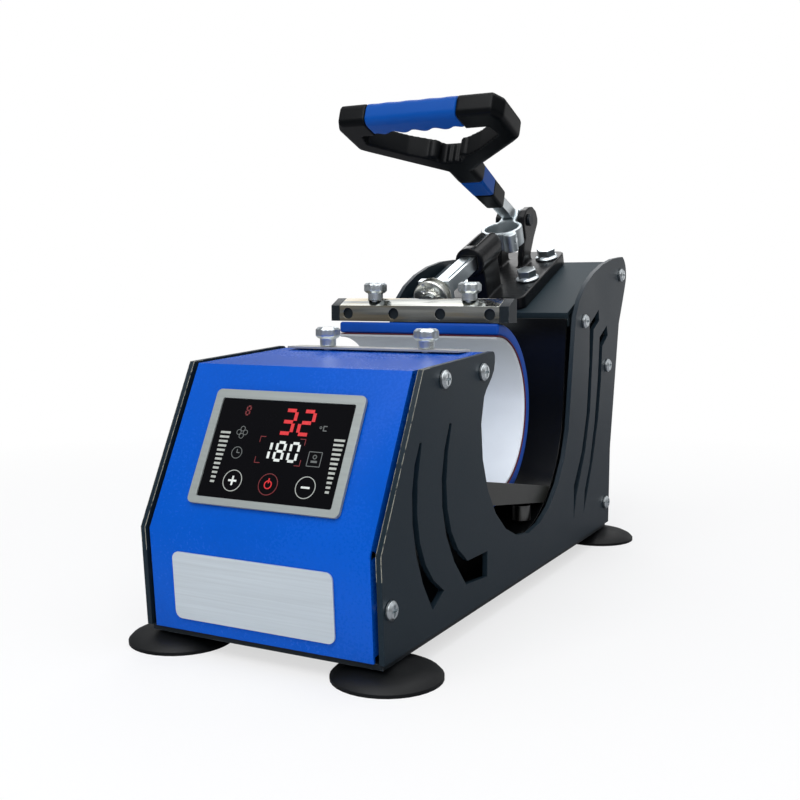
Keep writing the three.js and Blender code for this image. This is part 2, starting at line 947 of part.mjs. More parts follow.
// Control board on four standoffs behind the display
function makeControlBoard() {
  const middle = (display.low + display.high) / 2;
  const from = middle - board.length / 2;
  const to = middle + board.length / 2;
  const top = -body.sheetThick - board.standoff;
  const cardBottom = top - board.thick;
  const pieces = [block(-boardHalf, boardHalf, from, to, cardBottom, top)];
  const inset = board.standoffInset - display.windowInset;
  [from - inset, to + inset].forEach((along, i) => {
    const seat = i ? along - board.standoffRadius : along + board.standoffRadius;
    [-1, 1].forEach((sign) => {
      const x = sign * (boardHalf - board.standoffRadius / 2);
      pieces.push(barZ(
        board.standoffRadius, top - board.thick / 2, -body.sheetThick - gap, x, seat, smallSides,
      ));
    });
  });
  pieces.push(block(
    board.relayX - board.relayWide / 2, board.relayX + board.relayWide / 2,
    middle - board.relayLong / 2, middle + board.relayLong / 2,
    cardBottom - board.relayDeep, cardBottom + board.thick / 2,
  ));
  addPiece(faceFrame, 'control_board', geometryOf(joined(pieces)), boardGreen());
}

// Heating wrap: a round band that rises to the lower clamp bar at the front
function bandShape(outer, inner) {
  const shape = new THREE.Shape();
  shape.moveTo(wrap.centreY, wrap.centreZ + outer);
  shape.absarc(wrap.centreY, wrap.centreZ, outer, Math.PI / 2, -Math.PI, true);
  shape.lineTo(wrap.centreY - outer, wrap.riserTopZ);
  shape.lineTo(wrap.centreY - inner, wrap.riserTopZ);
  shape.lineTo(wrap.centreY - inner, wrap.centreZ);
  shape.absarc(wrap.centreY, wrap.centreZ, inner, -Math.PI, Math.PI / 2, false);
  return shape;
}

function makeWrap() {
  const liningOuter = wrap.innerRadius + wrap.liningThick;
  const half = wrapHalf;
  const mat = across(bandShape(wrap.outerRadius, liningOuter + gap), -half, half, finePieces);
  addPiece(press, 'heating_wrap', mat, blueSilicone());
  const lining = across(bandShape(liningOuter, wrap.innerRadius), -half, half, finePieces);
  addPiece(press, 'wrap_lining', lining, whiteLining());
}

// Cradle: a sloped tray with two side lips, on two bolts. The wrap hangs through its window.
const cradleFall = (cradle.frontZ - cradle.rearZ) / (cradle.rearY - cradle.frontY);
const cradleTop = (y) => cradle.frontZ - (y - cradle.frontY) * cradleFall;

function makeCradle() {
  const half = sheetHalf;
  const path = [[cradle.frontY, cradle.frontZ], [cradle.rearY, cradle.rearZ]];
  const floor = across(bentStrip(path, cradle.thick), -half, half);
  const lip = outline([
    [cradle.frontY, cradle.frontZ - cradle.thick],
    [cradle.rearY, cradle.rearZ - cradle.thick],
    [cradle.rearY, cradle.rearZ + cradle.lipRear],
    [cradle.frontY, cradle.frontZ + cradle.lipFront],
  ]);
  const lips = [across(lip, half - cradle.lipThick, half), across(lip, -half, cradle.lipThick - half)];
  const wellInside = well.radius + well.linerGap - gap;
  const inside = barX(wellInside, -half, half, 0, well.centreZ, finePieces * 2);
  const window = block(
    -wrapHalf - gap, wrapHalf + gap,
    wrap.centreY - cradle.windowFront, wrap.centreY + cradle.windowRear,
    cradle.rearZ - cradle.thick - overrun, cradle.frontZ + overrun,
  );
  const tray = cutFrom(joined([floor, ...lips]).intersect(solid(inside)), [window]);
  addPiece(press, 'wrap_cradle', geometryOf(tray), blackPaint());
  const liner = well.radius + well.linerGap;
  const linerZ = well.centreZ - Math.sqrt(liner ** 2 - cradle.boltY ** 2);
  const seatZ = linerZ + gap + (cradle.boltRadius * cradle.boltY) / well.radius;
  const headZ = cradleTop(cradle.boltY + cradle.boltRadius) - cradle.thick - gap * 2;
  const boltX = sheetHalf - cradle.boltInset;
  [['right', 1], ['left', -1]].forEach(([side, sign]) => {
    const stand = barZ(cradle.boltRadius, seatZ, headZ, sign * boltX, cradle.boltY);
    addPiece(press, `cradle_bolt_${side}`, stand, chrome());
  });
}

// Thumb knob with a lobed head, drawn standing on Z zero
function knobGeometry(studLength) {
  const lobed = [];
  const steps = knob.lobes * arcSteps;
  for (let i = 0; i < steps; i += 1) {
    const turn = (2 * Math.PI * i) / steps;
    const dip = (knob.lobeDepth * (1 + Math.cos(knob.lobes * turn))) / 2;
    lobed.push([(knob.radius - dip) * Math.cos(turn), (knob.radius - dip) * Math.sin(turn)]);
  }
  const middle = knob.neckHeight + knob.headThick / 2;
  const head = bevelled(outline(lobed), knob.headThick / 2, knob.headBevel, 1);
  head.translate(0, 0, middle);
  const neck = barZ(knob.neckRadius, 0, middle, 0, 0, smallSides + arcSteps);
  const stud = barZ(knob.studRadius, -studLength, middle, 0, 0, smallSides);
  return geometryOf(joined([head, neck, stud]));
}

function makeLowerClamp() {
  const knobY = lower.barFrontY + lower.barDepth / 2;
  const half = lowerHalf;
  const shelfLow = topZ(lower.barFrontY) - body.sheetThick;
  const barTop = shelfLow - gap * 2;
  const barRearY = shelfRearY - body.sheetThick - gap * 2;
  const bar = block(-half, half, lower.barFrontY, barRearY, barTop - lower.barHeight, barTop);
  const bores = (low, high) => [-1, 1].map((sign) => barZ(
    knob.studRadius + gap, low - overrun, high + overrun, sign * lowerKnobX, knobY, smallSides,
  ));
  const barCut = cutFrom(solid(bar), bores(barTop - lower.barHeight, barTop));
  addPiece(press, 'lower_clamp_bar', geometryOf(barCut), blackPaint());
  const stripLow = topZ(shelfRearY) + gap;
  const stripTop = stripLow + lower.stripThick;
  const stripHalf = half - lower.stripInset;
  const strip = block(-stripHalf, stripHalf, lower.barFrontY, shelfRearY, stripLow, stripTop);
  const stripCut = cutFrom(solid(strip), bores(stripLow, stripTop));
  addPiece(press, 'lower_clamp_strip', geometryOf(stripCut), chrome());
  const studLength = stripTop - barTop + lower.barHeight;
  const geometry = knobGeometry(studLength);
  [['right', 1], ['left', -1]].forEach(([side, sign]) => {
    const piece = addPiece(press, `lower_clamp_knob_${side}`, geometry, zinc());
    piece.position.set(sign * lowerKnobX, knobY, stripTop + gap);
  });
}

// Upper clamp: a black bar under a chrome channel with four holes in its face
function makeUpperClamp() {
  const { frontY, bottomZ } = upper;
  const bevelY = frontY + upper.bevelDepth;
  const rearY = frontY + upper.depth;
  const faceZ = bottomZ + upper.faceHeight;
  const topEdge = bottomZ + upper.height;
  const path = [[frontY, bottomZ], [frontY, faceZ], [bevelY, topEdge], [rearY, topEdge]];
  const channel = across(bentStrip(path, upper.skin), -channelHalf, channelHalf);
  const holeOuter = channelHalf - upper.holeInset;
  const holeInner = holeOuter * upper.holeInnerShare;
  const holes = [-holeOuter, -holeInner, holeInner, holeOuter];
  const holeZ = bottomZ + upper.faceHeight / 2;
  const faceCuts = holes.map((x) => barY(
    upper.holeRadius, frontY - overrun, frontY + upper.skin * 2, x, holeZ, smallSides + arcSteps,
  ));
  const knobY = frontY + upper.knobBack;
  const knobZ = topEdge - ((bevelY - knobY) * (topEdge - faceZ)) / upper.bevelDepth;
  const studBores = [-1, 1].map((sign) => barZ(
    knob.studRadius + gap, bottomZ - overrun, topEdge + overrun, sign * upperKnobX, knobY,
    smallSides,
  ));
  const pocket = knob.neckRadius + gap;
  const seats = [-1, 1].map((sign) => barZ(
    pocket, knobZ - gap * 2, topEdge + overrun, sign * upperKnobX, knobY,
  ));
  const skin = cutFrom(solid(channel), [...faceCuts, ...studBores, ...seats]);
  addPiece(press, 'upper_clamp_channel', geometryOf(skin), chrome());
  const inner = path.map((p) => [...p]);
  const core = bentStrip(inner, upper.skin + gap);
  const points = core.getPoints();
  const insideEdge = points.slice(path.length).map((p) => [p.x, p.y]).reverse();
  const profile = [...insideEdge, [rearY, bottomZ]];
  const full = [...path, [rearY, bottomZ]];
  const reach = channelHalf + gap;
  const bar = joined([
    across(outline(profile), -reach - gap, reach + gap),
    across(outline(full), reach, reach + upper.capWidth),
    across(outline(full), -reach - upper.capWidth, -reach),
  ]);
  const barCut = cutFrom(bar, [...studBores, ...seats]);
  addPiece(press, 'upper_clamp_bar', geometryOf(barCut), blackPaint());
  const geometry = knobGeometry(knob.studLength);
  [['right', 1], ['left', -1]].forEach(([side, sign]) => {
    const piece = addPiece(press, `upper_clamp_knob_${side}`, geometry, zinc());
    piece.position.set(sign * upperKnobX, knobY, knobZ - gap);
  });
}

// Bracket that joins the upper clamp bar to the push rod
function deckPoint(along, rise) {
  const cos = Math.cos(deck.angle);
  const sin = Math.sin(deck.angle);
  return [deck.frontY + along * cos - rise * sin, deck.frontZ + along * sin + rise * cos];
}

function makePushBracket() {
  const face = rod.front - gap - bracket.thick;
  const rear = rod.front - gap;
  const top = clamp.axisRise + bracket.topRise;
  const footLow = upper.bottomZ;
  const footTop = footLow + bracket.footThick;
  const barRear = upper.frontY + upper.depth + gap;
  const [topFaceY, topFaceZ] = deckPoint(face, top);
  const [topRearY, topRearZ] = deckPoint(rear, top);
  const slope = Math.tan(deck.angle);
  const faceFootY = topFaceY + (topFaceZ - footTop) * slope;
  const rearFootY = topRearY + (topRearZ - footLow) * slope;
  const profile = [
    [barRear, footLow],
    [rearFootY, footLow],
    [topRearY, topRearZ],
    [topFaceY, topFaceZ],
    [faceFootY, footTop],
    [barRear, footTop],
  ];
  const plateShape = across(outline(profile), -bracket.halfWidth, bracket.halfWidth);
  const bore = barY(
    rod.spindleRadius + gap, face - overrun, rear + overrun, 0, clamp.axisRise,
  );
  bore.rotateX(deck.angle).translate(0, deck.frontY, deck.frontZ);
  addPiece(press, 'push_bracket', geometryOf(cutFrom(solid(plateShape), [bore])), zinc());
}

// Push rod with a keyway on top, a spindle in front and a slotted fork behind
function makePushRod() {
  const rear = link.rodAlong + rod.rearPast;
  const axis = clamp.axisRise;
  const bar = block(
    -rod.halfWidth, rod.halfWidth, rod.front, rear, axis - rod.halfHeight, axis + rod.halfHeight,
  );
  const spindle = barY(rod.spindleRadius, rod.spindleFront, rod.front + overrun, 0, axis);
  const groove = block(
    rod.groovePlace, rod.groovePlace + rod.grooveWide, rod.front - overrun,
    link.rodAlong - link.slack - link.eyeRadius * 2,
    axis + rod.halfHeight - rod.grooveDeep, axis + rod.halfHeight + overrun,
  );
  const fork = block(
    -rod.slotHalf, rod.slotHalf, link.rodAlong - link.slack - link.eyeRadius - gap,
    rear + overrun, axis - rod.halfHeight - overrun, axis + rod.halfHeight + overrun,
  );
  const slotHalf = link.pinRadius + gap * 2;
  const forkReach = rod.halfWidth + overrun;
  const slots = [
    barX(slotHalf, -forkReach, forkReach, link.rodAlong - link.slack, axis, smallSides),
    barX(slotHalf, -forkReach, forkReach, link.rodAlong, axis, smallSides),
    block(
      -forkReach, forkReach, link.rodAlong - link.slack, link.rodAlong,
      axis - slotHalf, axis + slotHalf,
    ),
  ];
  const shape = cutFrom(joined([bar, spindle]), [groove, fork, ...slots]);
  addPiece(deckFrame, 'push_rod', geometryOf(shape), zinc());
}

// Pressure disc: a fluted hand nut on the spindle
function makePressureDisc() {
  const rim = [];
  const steps = disc.flutes * 2;
  for (let i = 0; i < steps; i += 1) {
    const turn = (2 * Math.PI * i) / steps;
    const radius = disc.radius - (i % 2) * disc.fluteDeep;
    rim.push([radius * Math.cos(turn), radius * Math.sin(turn)]);
  }
  const rear = disc.front + disc.thick;
  const wheel = upright(outline(rim), -rear, -disc.front).rotateX(Math.PI / 2);
  const hub = barY(disc.hubRadius, disc.front - disc.hubRise, rear - gap, 0, 0);
  const bore = barY(
    rod.spindleRadius + gap, disc.front - disc.hubRise - overrun, rear + overrun, 0, 0,
  );
  const shape = cutFrom(joined([wheel, hub]), [bore]);
  const piece = addPiece(deckFrame, 'pressure_disc', geometryOf(shape), chrome());
  piece.position.set(0, 0, clamp.axisRise);
}

// Clamp base: flange, barrel with a domed end, and a fork for the lever pin
function makeClampBase() {
  const middle = (clamp.flangeStart + clamp.flangeEnd) / 2;
  const long = (clamp.flangeEnd - clamp.flangeStart) / 2;
  const flange = rounded(
    new THREE.Shape(), clamp.flangeHalf, long, clamp.flangeRound, 0, middle,
  );
  const axis = clamp.axisRise;
  const dome = new THREE.SphereGeometry(clamp.barrelRadius, roundSides, smallSides);
  dome.rotateX(Math.PI / 2).rotateZ(Math.PI).translate(0, clamp.barrelEnd, axis);
  const webTop = axis - rod.halfHeight;
  const ear = outline([
    [clamp.pivotAlong - clamp.earFootFront, clamp.flangeThick / 2],
    [clamp.pivotAlong - clamp.earFootRear, clamp.flangeThick / 2],
    ...clamp.earOutline.map(([along, rise]) => [clamp.pivotAlong + along, axis + rise]),
  ]);
  const earOuter = clamp.earInner + clamp.earThick;
  const pieces = [
    upright(flange, gap, clamp.flangeThick, smallSides),
    barY(clamp.barrelRadius, clamp.barrelStart, clamp.barrelEnd, 0, axis, roundSides),
    dome,
    block(
      -clamp.webHalf, clamp.webHalf, clamp.flangeStart, clamp.barrelEnd,
      clamp.flangeThick / 2, webTop,
    ),
    across(ear, clamp.earInner, earOuter),
    across(ear, -earOuter, -clamp.earInner),
  ];
  const domeEnd = clamp.barrelEnd + clamp.barrelRadius + overrun;
  const slotFrom = link.rodAlong - link.eyeRadius - gap;
  const cuts = [
    block(
      -rod.halfWidth - gap, rod.halfWidth + gap, clamp.barrelStart - overrun, domeEnd,
      axis - rod.halfHeight - gap, axis + rod.halfHeight + gap,
    ),
    block(
      -rod.slotHalf - gap, rod.slotHalf + gap, slotFrom, domeEnd,
      link.yokeRise - link.eyeRadius - gap * 2, axis + clamp.barrelRadius + overrun,
    ),
    barX(clamp.pinRadius + gap, -earOuter - overrun, earOuter + overrun, clamp.pivotAlong, axis),
    ...boltBores(),
  ];
  const shape = cutFrom(joined(pieces), cuts);
  addPiece(deckFrame, 'clamp_base', geometryOf(shape), castIron());
}

// Flange bolts: hexagon head on a round flange
function makeFlangeBolts() {
  const seat = clamp.flangeThick + gap;
  const flangeTop = seat + bolt.flangeThick;
  const flange = turned([
    [0, seat],
    [bolt.flangeRadius, seat],
    [bolt.flangeRadius, seat + bolt.flangeThick / 2],
    [bolt.hexRadius, flangeTop],
    [0, flangeTop],
  ], roundSides);
  const hexTop = flangeTop + bolt.hexHeight;
  const hex = barZ(bolt.hexRadius, flangeTop - gap, hexTop, 0, 0, hexSides);
  const shank = barZ(bolt.shankRadius, -deck.thick, seat + gap, 0, 0, smallSides);
  const geometry = geometryOf(joined([flange, hex, shank]));
  boltPlaces().forEach(({ name, x, along }) => {
    const piece = addPiece(deckFrame, `flange_bolt_${name}`, geometry, zinc());
    piece.position.set(x, along, 0);
  });
}

// Lever yoke: ring, boss, shoulders, and a lug with a socket for the lever bar
function makeYoke() {
  const { bottomRise: low, topRise: high } = yoke;
  const pinAt = clamp.pivotAlong;
  const axis = clamp.axisRise;
  const ring = barZ(yoke.ringOuter, low, high, 0, yoke.ringAlong, roundSides + smallSides);
  const boss = barZ(
    yoke.bossRadius, low - gap * 3, high - gap * 3, yoke.bossX, link.yokeAlong,
  );
  const shoulder = upright(outline([
    [-yoke.shoulderHalf, yoke.shoulderStart],
    [yoke.shoulderHalf, yoke.shoulderStart],
    [yoke.shoulderHalf, yoke.shoulderEnd - yoke.lugHalf / 2],
    [yoke.shoulderHalf - yoke.lugHalf / 2, yoke.shoulderEnd],
    [yoke.lugHalf / 2 - yoke.shoulderHalf, yoke.shoulderEnd],
    [-yoke.shoulderHalf, yoke.shoulderEnd - yoke.lugHalf / 2],
  ]), low, high);
  const lug = across(outline([
    [yoke.shoulderStart, low],
    [pinAt, axis - yoke.lugRadius],
    [pinAt, axis + yoke.lugRadius],
    [yoke.shoulderStart, high],
  ]), -yoke.lugHalf, yoke.lugHalf);
  const eye = barX(yoke.lugRadius, -yoke.lugHalf, yoke.lugHalf, pinAt, axis);
  const socket = block(
    -yoke.lugHalf, yoke.lugHalf, -yoke.socketReach, 0, -yoke.socketHalf, yoke.socketHalf,
  );
  const tilt = -(lever.lean + deck.angle);
  socket.rotateX(tilt).translate(0, pinAt, axis);
  const barHole = block(
    -lever.barHalfWidth - gap, lever.barHalfWidth + gap, -yoke.socketReach - yoke.lugRadius,
    gap - lever.barStart, -lever.barHalfThick - gap, lever.barHalfThick + gap,
  );
  barHole.rotateX(tilt).translate(0, pinAt, axis);
  const bossSide = yoke.bossX + yoke.bossRadius + overrun;
  const linkHigh = link.yokeRise + link.eyeRadius + gap;
  const cuts = [
    barZ(yoke.ringInner, low - overrun, high + overrun, 0, yoke.ringAlong, roundSides + smallSides),
    barHole,
    barX(clamp.pinRadius + gap, -yoke.lugHalf - overrun, yoke.lugHalf + overrun, pinAt, axis),
    barX(link.pinRadius + gap, -bossSide, bossSide, link.yokeAlong, link.yokeRise, smallSides),
    block(
      -rod.slotHalf - gap, rod.slotHalf + gap, link.yokeAlong - yoke.bossRadius - overrun,
      yoke.ringAlong - yoke.ringInner + overrun * 2, low - overrun, linkHigh,
    ),
  ];
  const shape = cutFrom(joined([ring, boss, shoulder, lug, eye, socket]), cuts);
  addPiece(deckFrame, 'lever_yoke', geometryOf(shape), zinc());
}

// Toggle link with its two pins pressed in
function makeToggleLink() {
  const half = link.halfThick;
  const start = new THREE.Vector2(link.rodAlong, clamp.axisRise);
  const end = new THREE.Vector2(link.yokeAlong, link.yokeRise);
  const side = end.clone().sub(start).rotateAround(new THREE.Vector2(0, 0), Math.PI / 2);
  side.setLength(link.eyeRadius * link.armShare);
  const arm = outline([
    [start.x - side.x, start.y - side.y],
    [end.x - side.x, end.y - side.y],
    [end.x + side.x, end.y + side.y],
    [start.x + side.x, start.y + side.y],
  ]);
  const yokePin = yoke.bossX + yoke.bossRadius - gap;
  const wallX = Math.sqrt(yoke.ringOuter ** 2 - (yoke.ringAlong - link.yokeAlong) ** 2);
  const rodPin = rod.halfWidth - gap;
  const pieces = [
    across(arm, -half, half),
    barX(link.eyeRadius, -half, half, start.x, start.y),
    barX(link.eyeRadius, -half, half, end.x, end.y),
    barX(link.pinRadius, -rodPin, rodPin, start.x, start.y, smallSides),
    barX(link.pinRadius, gap - wallX, yokePin, end.x, end.y, smallSides),
  ];
  addPiece(deckFrame, 'toggle_link', geometryOf(joined(pieces)), zinc());
}

function makeForkPin() {
  const reach = clamp.earInner + clamp.earThick + overrun;
  const pin = barX(clamp.pinRadius, -reach, reach, clamp.pivotAlong, clamp.axisRise);
  const head = clamp.pinRadius + overrun / 2;
  const heads = [-1, 1].map((sign) => barX(
    head, Math.min(sign * (reach - overrun + gap), sign * reach),
    Math.max(sign * (reach - overrun + gap), sign * reach), clamp.pivotAlong, clamp.axisRise,
  ));
  addPiece(deckFrame, 'fork_pin', geometryOf(joined([pin, ...heads])), blackPaint());
}

// Lever bar
function makeLeverBar() {
  const bar = block(
    -lever.barHalfWidth, lever.barHalfWidth, -lever.barEnd, -lever.barStart,
    -lever.barHalfThick, lever.barHalfThick,
  );
  addPiece(leverFrame, 'lever_bar', bar, zinc());
}

// D handle: both outlines are mirrored about the lever's centre line
function mirrored(points) {
  const right = points.map(([x, along]) => [x, -along]);
  const left = points.map(([x, along]) => [-x, -along]).reverse();
  return [...right, ...left];
}

function bevelled(shape, halfThick, bevel, segments = 2) {
  const geometry = new THREE.ExtrudeGeometry(shape, {
    depth: (halfThick - bevel) * 2,
    bevelEnabled: true,
    bevelThickness: bevel,
    bevelSize: bevel,
    bevelOffset: -bevel,
    bevelSegments: segments,
    curveSegments: arcSteps,
  });
  return geometry.translate(0, 0, bevel - halfThick);
}

// Points of a share table, as half widths and distances along the lever
function handlePoints(shares) {
  const reach = handle.top - handle.neckAt;
  return shares.map(([out, along]) => [handle.halfWidth * out, handle.neckAt + reach * along]);
}

function gripOutline(centre, half, inset) {
  const points = [];
  const left = -handle.gripLeft + inset;
  const right = handle.gripRight - inset;
  const outerAlong = centre + half;
  const steps = handle.gripWaves * smallSides;
  points.push([left, outerAlong], [right, outerAlong]);
  for (let i = 0; i <= steps; i += 1) {
    const share = i / steps;
    const wave = (handle.gripWave * (1 - Math.cos(2 * Math.PI * handle.gripWaves * share))) / 2;
    points.push([right + (left - right) * share, centre - half + wave]);
  }
  return outline(points.map(([x, along]) => [x, -along]));
}

function makeHandle() {
  const h = handle;
  const holePoints = handlePoints(holeShares);
  const holeTop = Math.max(...holePoints.map(([, along]) => along));
  const gripCentre = (h.top + holeTop) / 2;
  const gripHalf = (h.top - holeTop) / 2 + h.gripProud;
  const outer = outline(mirrored([
    [h.neckHalf, h.bandEnd],
    [h.neckHalf, h.neckAt],
    ...handlePoints(handleShares),
  ]));
  const frame = solid(bevelled(outer, h.halfThick, h.bevel));
  const hole = upright(
    outline(mirrored(holePoints)), -h.halfThick - overrun, h.halfThick + overrun,
  );
  const stemLow = h.collarStart;
  const stemFlare = (h.stemHalf - h.stemEndHalf) / (h.bandEnd - stemLow);
  const stemHalfAt = (along) => h.stemEndHalf + (along - stemLow) * stemFlare;
  const stem = bevelled(outline(mirrored([
    [h.stemEndHalf, stemLow],
    [h.stemHalf, h.bandEnd],
    [h.stemHalf, h.neckAt],
  ])), h.stemHalfThick, h.stemBevel, 1);
  const bandOuter = block(
    -h.halfWidth, h.halfWidth, -h.bandEnd, -h.bandStart, -h.halfThick * 2, h.halfThick * 2,
  );
  const coreHalf = stemHalfAt(h.bandStart) - h.bandInset - gap;
  const coreThick = h.stemHalfThick - h.bandInset - gap;
  const bandCore = block(
    -coreHalf, coreHalf, -h.bandEnd - overrun, -h.bandStart + overrun, -coreThick, coreThick,
  );
  const bandRing = solid(bandOuter).subtract(solid(bandCore));
  const gripRoom = block(
    -h.gripLeft, h.gripRight, -(h.top + overrun), -(holeTop - overrun),
    -h.halfThick * 2, h.halfThick * 2,
  );
  const skin = h.gripSkin + gap;
  const gripCore = block(
    -h.gripLeft - overrun, h.gripRight + overrun, skin - (gripCentre + gripHalf),
    -(gripCentre - gripHalf + h.gripWave) - skin,
    -(h.gripHalfThick - skin), h.gripHalfThick - skin,
  );
  const gripRing = solid(gripRoom).subtract(solid(gripCore));
  const boreTo = lever.barEnd + gap;
  const bore = block(
    -lever.barHalfWidth - gap, lever.barHalfWidth + gap, -boreTo, -stemLow + overrun,
    -lever.barHalfThick - gap, lever.barHalfThick + gap,
  );
  const shape = cutFrom(frame, [hole]).add(solid(stem))
    .subtract(bandRing).subtract(gripRing).subtract(solid(bore));
  addPiece(leverFrame, 'handle_body', geometryOf(shape), blackPlastic());

  const bandSleeve = bevelled(outline(mirrored([
    [stemHalfAt(h.bandStart), h.bandStart + gap],
    [h.stemHalf, h.bandEnd - gap],
  ])), h.stemHalfThick, h.stemBevel, 1);
  const band = cutFrom(solid(bandSleeve), [block(
    -coreHalf - gap, coreHalf + gap, -h.bandEnd - overrun, -h.bandStart + overrun,
    -coreThick - gap, coreThick + gap,
  )]);
  addPiece(leverFrame, 'handle_band', geometryOf(band), bluePlastic());

  const section = rounded(
    new THREE.Shape(), gripHalf, h.gripHalfThick, h.gripRound, -gripCentre, 0,
  );
  const sleeve = solid(across(section, -h.gripLeft, h.gripRight))
    .intersect(solid(upright(gripOutline(gripCentre, gripHalf, gap), -h.halfThick * 2, h.halfThick * 2)));
  const grip = cutFrom(sleeve, [
    block(
      -h.gripLeft - overrun, h.gripRight + overrun, skin - gap - (gripCentre + gripHalf),
      gap - (gripCentre - gripHalf + h.gripWave) - skin,
      skin - gap - h.gripHalfThick, h.gripHalfThick - skin + gap,
    ),
  ]);
  addPiece(leverFrame, 'handle_grip', geometryOf(grip), bluePlastic());
}

// Mains inlet with a recessed socket and three pins, and the rocker above it
function makeInlet() {
  const face = panel.heelY - cover.rearInset;
  const x = inlet.centreX;
  const z = inlet.centreZ;
  const outerX = inlet.halfWidth + inlet.flange;
  const outerZ = inlet.halfHeight + inlet.flange;
  const lip = face + gap + inlet.flangeThick;
  const housing = joined([
    block(x - outerX, x + outerX, face + gap, lip, z - outerZ, z + outerZ),
    block(
      x - inlet.halfWidth, x + inlet.halfWidth, face - inlet.bodyDepth, face + gap * 2,
      z - inlet.halfHeight, z + inlet.halfHeight,
    ),
  ]);
  const socketZ = z - inlet.socketDrop;
  const socket = block(
    x - inlet.socketHalfWidth, x + inlet.socketHalfWidth, lip - inlet.socketDeep, lip + overrun,
    socketZ - inlet.socketHalfHeight, socketZ + inlet.socketHalfHeight,
  );
  const rockerZ = z + inlet.rockerRise;
  const bay = block(
    x - inlet.rockerHalfWidth - gap, x + inlet.rockerHalfWidth + gap,
    lip - inlet.rockerDeep - inlet.rockerTilt, lip + overrun,
    rockerZ - inlet.rockerHalfHeight - gap * 2, rockerZ + inlet.rockerHalfHeight + gap * 2,
  );
  const pins = [-1, 0, 1].map((place) => block(
    x + place * inlet.pinSpread - inlet.pinHalf, x + place * inlet.pinSpread + inlet.pinHalf,
    lip - inlet.socketDeep - overrun, lip - overrun,
    socketZ - inlet.pinHigh - place * place * inlet.pinHalf,
    socketZ + inlet.pinHigh - place * place * inlet.pinHalf,
  ));
  const shape = pins.reduce((sum, pin) => sum.add(solid(pin)), cutFrom(housing, [socket, bay]));
  addPiece(press, 'power_inlet', geometryOf(shape), blackPlastic());

  const r = inlet;
  const rocker = outline([
    [lip - r.rockerDeep / 2, rockerZ - r.rockerHalfHeight + gap],
    [lip + r.rockerTilt, rockerZ - r.rockerHalfHeight + gap],
    [lip + gap, rockerZ],
    [lip - gap, rockerZ + r.rockerHalfHeight - gap],
    [lip - r.rockerDeep / 2, rockerZ + r.rockerHalfHeight - gap],
    [lip - r.rockerDeep, rockerZ],
  ]);
  addPiece(
    press, 'rocker_switch', across(rocker, x - r.rockerHalfWidth, x + r.rockerHalfWidth),
    blackPlastic(),
  );
}

makePanels();
makeScrews();
makeFrontCover();
makeTopShelf();
makeWellLiner();
makeDeck();
makeRearCover();
makeBasePlate();
makeFeet();
makeDisplay();
makeNamePlate();
makeControlBoard();
makeWrap();
makeCradle();
makeLowerClamp();
makeUpperClamp();
makePushBracket();
makePushRod();
makePressureDisc();
makeClampBase();
makeFlangeBolts();
makeYoke();
makeToggleLink();
makeForkPin();
makeLeverBar();
makeHandle();
makeInlet();

export default group;
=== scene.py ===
"""Studio scene of a mug heat press.

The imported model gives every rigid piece. This script dresses those pieces, adds the finer ones
(heating wrap, display marks, moulded handle, cast parts) and sets the camera and the light.
Lengths in the classes are millimetres, and the scene itself is in metres.
"""

import logging
import math
from collections.abc import Sequence
from dataclasses import dataclass
from enum import Enum

import bpy
from mathutils import Matrix, Vector


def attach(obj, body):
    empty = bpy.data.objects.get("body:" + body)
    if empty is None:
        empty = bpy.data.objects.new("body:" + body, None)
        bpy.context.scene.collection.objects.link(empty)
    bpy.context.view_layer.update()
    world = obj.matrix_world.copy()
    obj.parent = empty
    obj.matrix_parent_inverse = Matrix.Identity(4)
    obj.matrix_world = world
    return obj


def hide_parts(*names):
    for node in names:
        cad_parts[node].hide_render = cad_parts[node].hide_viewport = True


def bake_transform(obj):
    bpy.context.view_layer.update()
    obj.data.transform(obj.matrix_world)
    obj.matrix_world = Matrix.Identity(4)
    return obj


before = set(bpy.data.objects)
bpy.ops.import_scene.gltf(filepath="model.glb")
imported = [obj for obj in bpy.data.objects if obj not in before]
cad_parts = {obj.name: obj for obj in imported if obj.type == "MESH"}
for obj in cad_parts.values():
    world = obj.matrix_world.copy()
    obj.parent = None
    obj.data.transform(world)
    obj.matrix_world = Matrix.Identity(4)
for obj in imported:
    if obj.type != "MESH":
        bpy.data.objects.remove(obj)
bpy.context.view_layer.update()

MM = 0.001
MERGED_WITHIN = 0.00001
BEVEL_SAMPLES = {"samples": 6}
LOG = logging.getLogger("mug_press")
Piece = bpy.types.Object
Material = bpy.types.Material
Colour = tuple[float, float, float]
Point = tuple[float, float, float]
WHITE: Colour = (1.0, 1.0, 1.0)
EVEN: Point = (1.0, 1.0, 1.0)


def metres(*lengths: float) -> tuple[float, ...]:
    """Turns millimetres into metres."""
    return tuple(length * MM for length in lengths)


def shade(colour: Colour, factor: float, lift: float = 0.0) -> Colour:
    """Gives a paler or a darker shade of a colour."""
    return tuple(min(1.0, part * factor + lift) for part in colour)


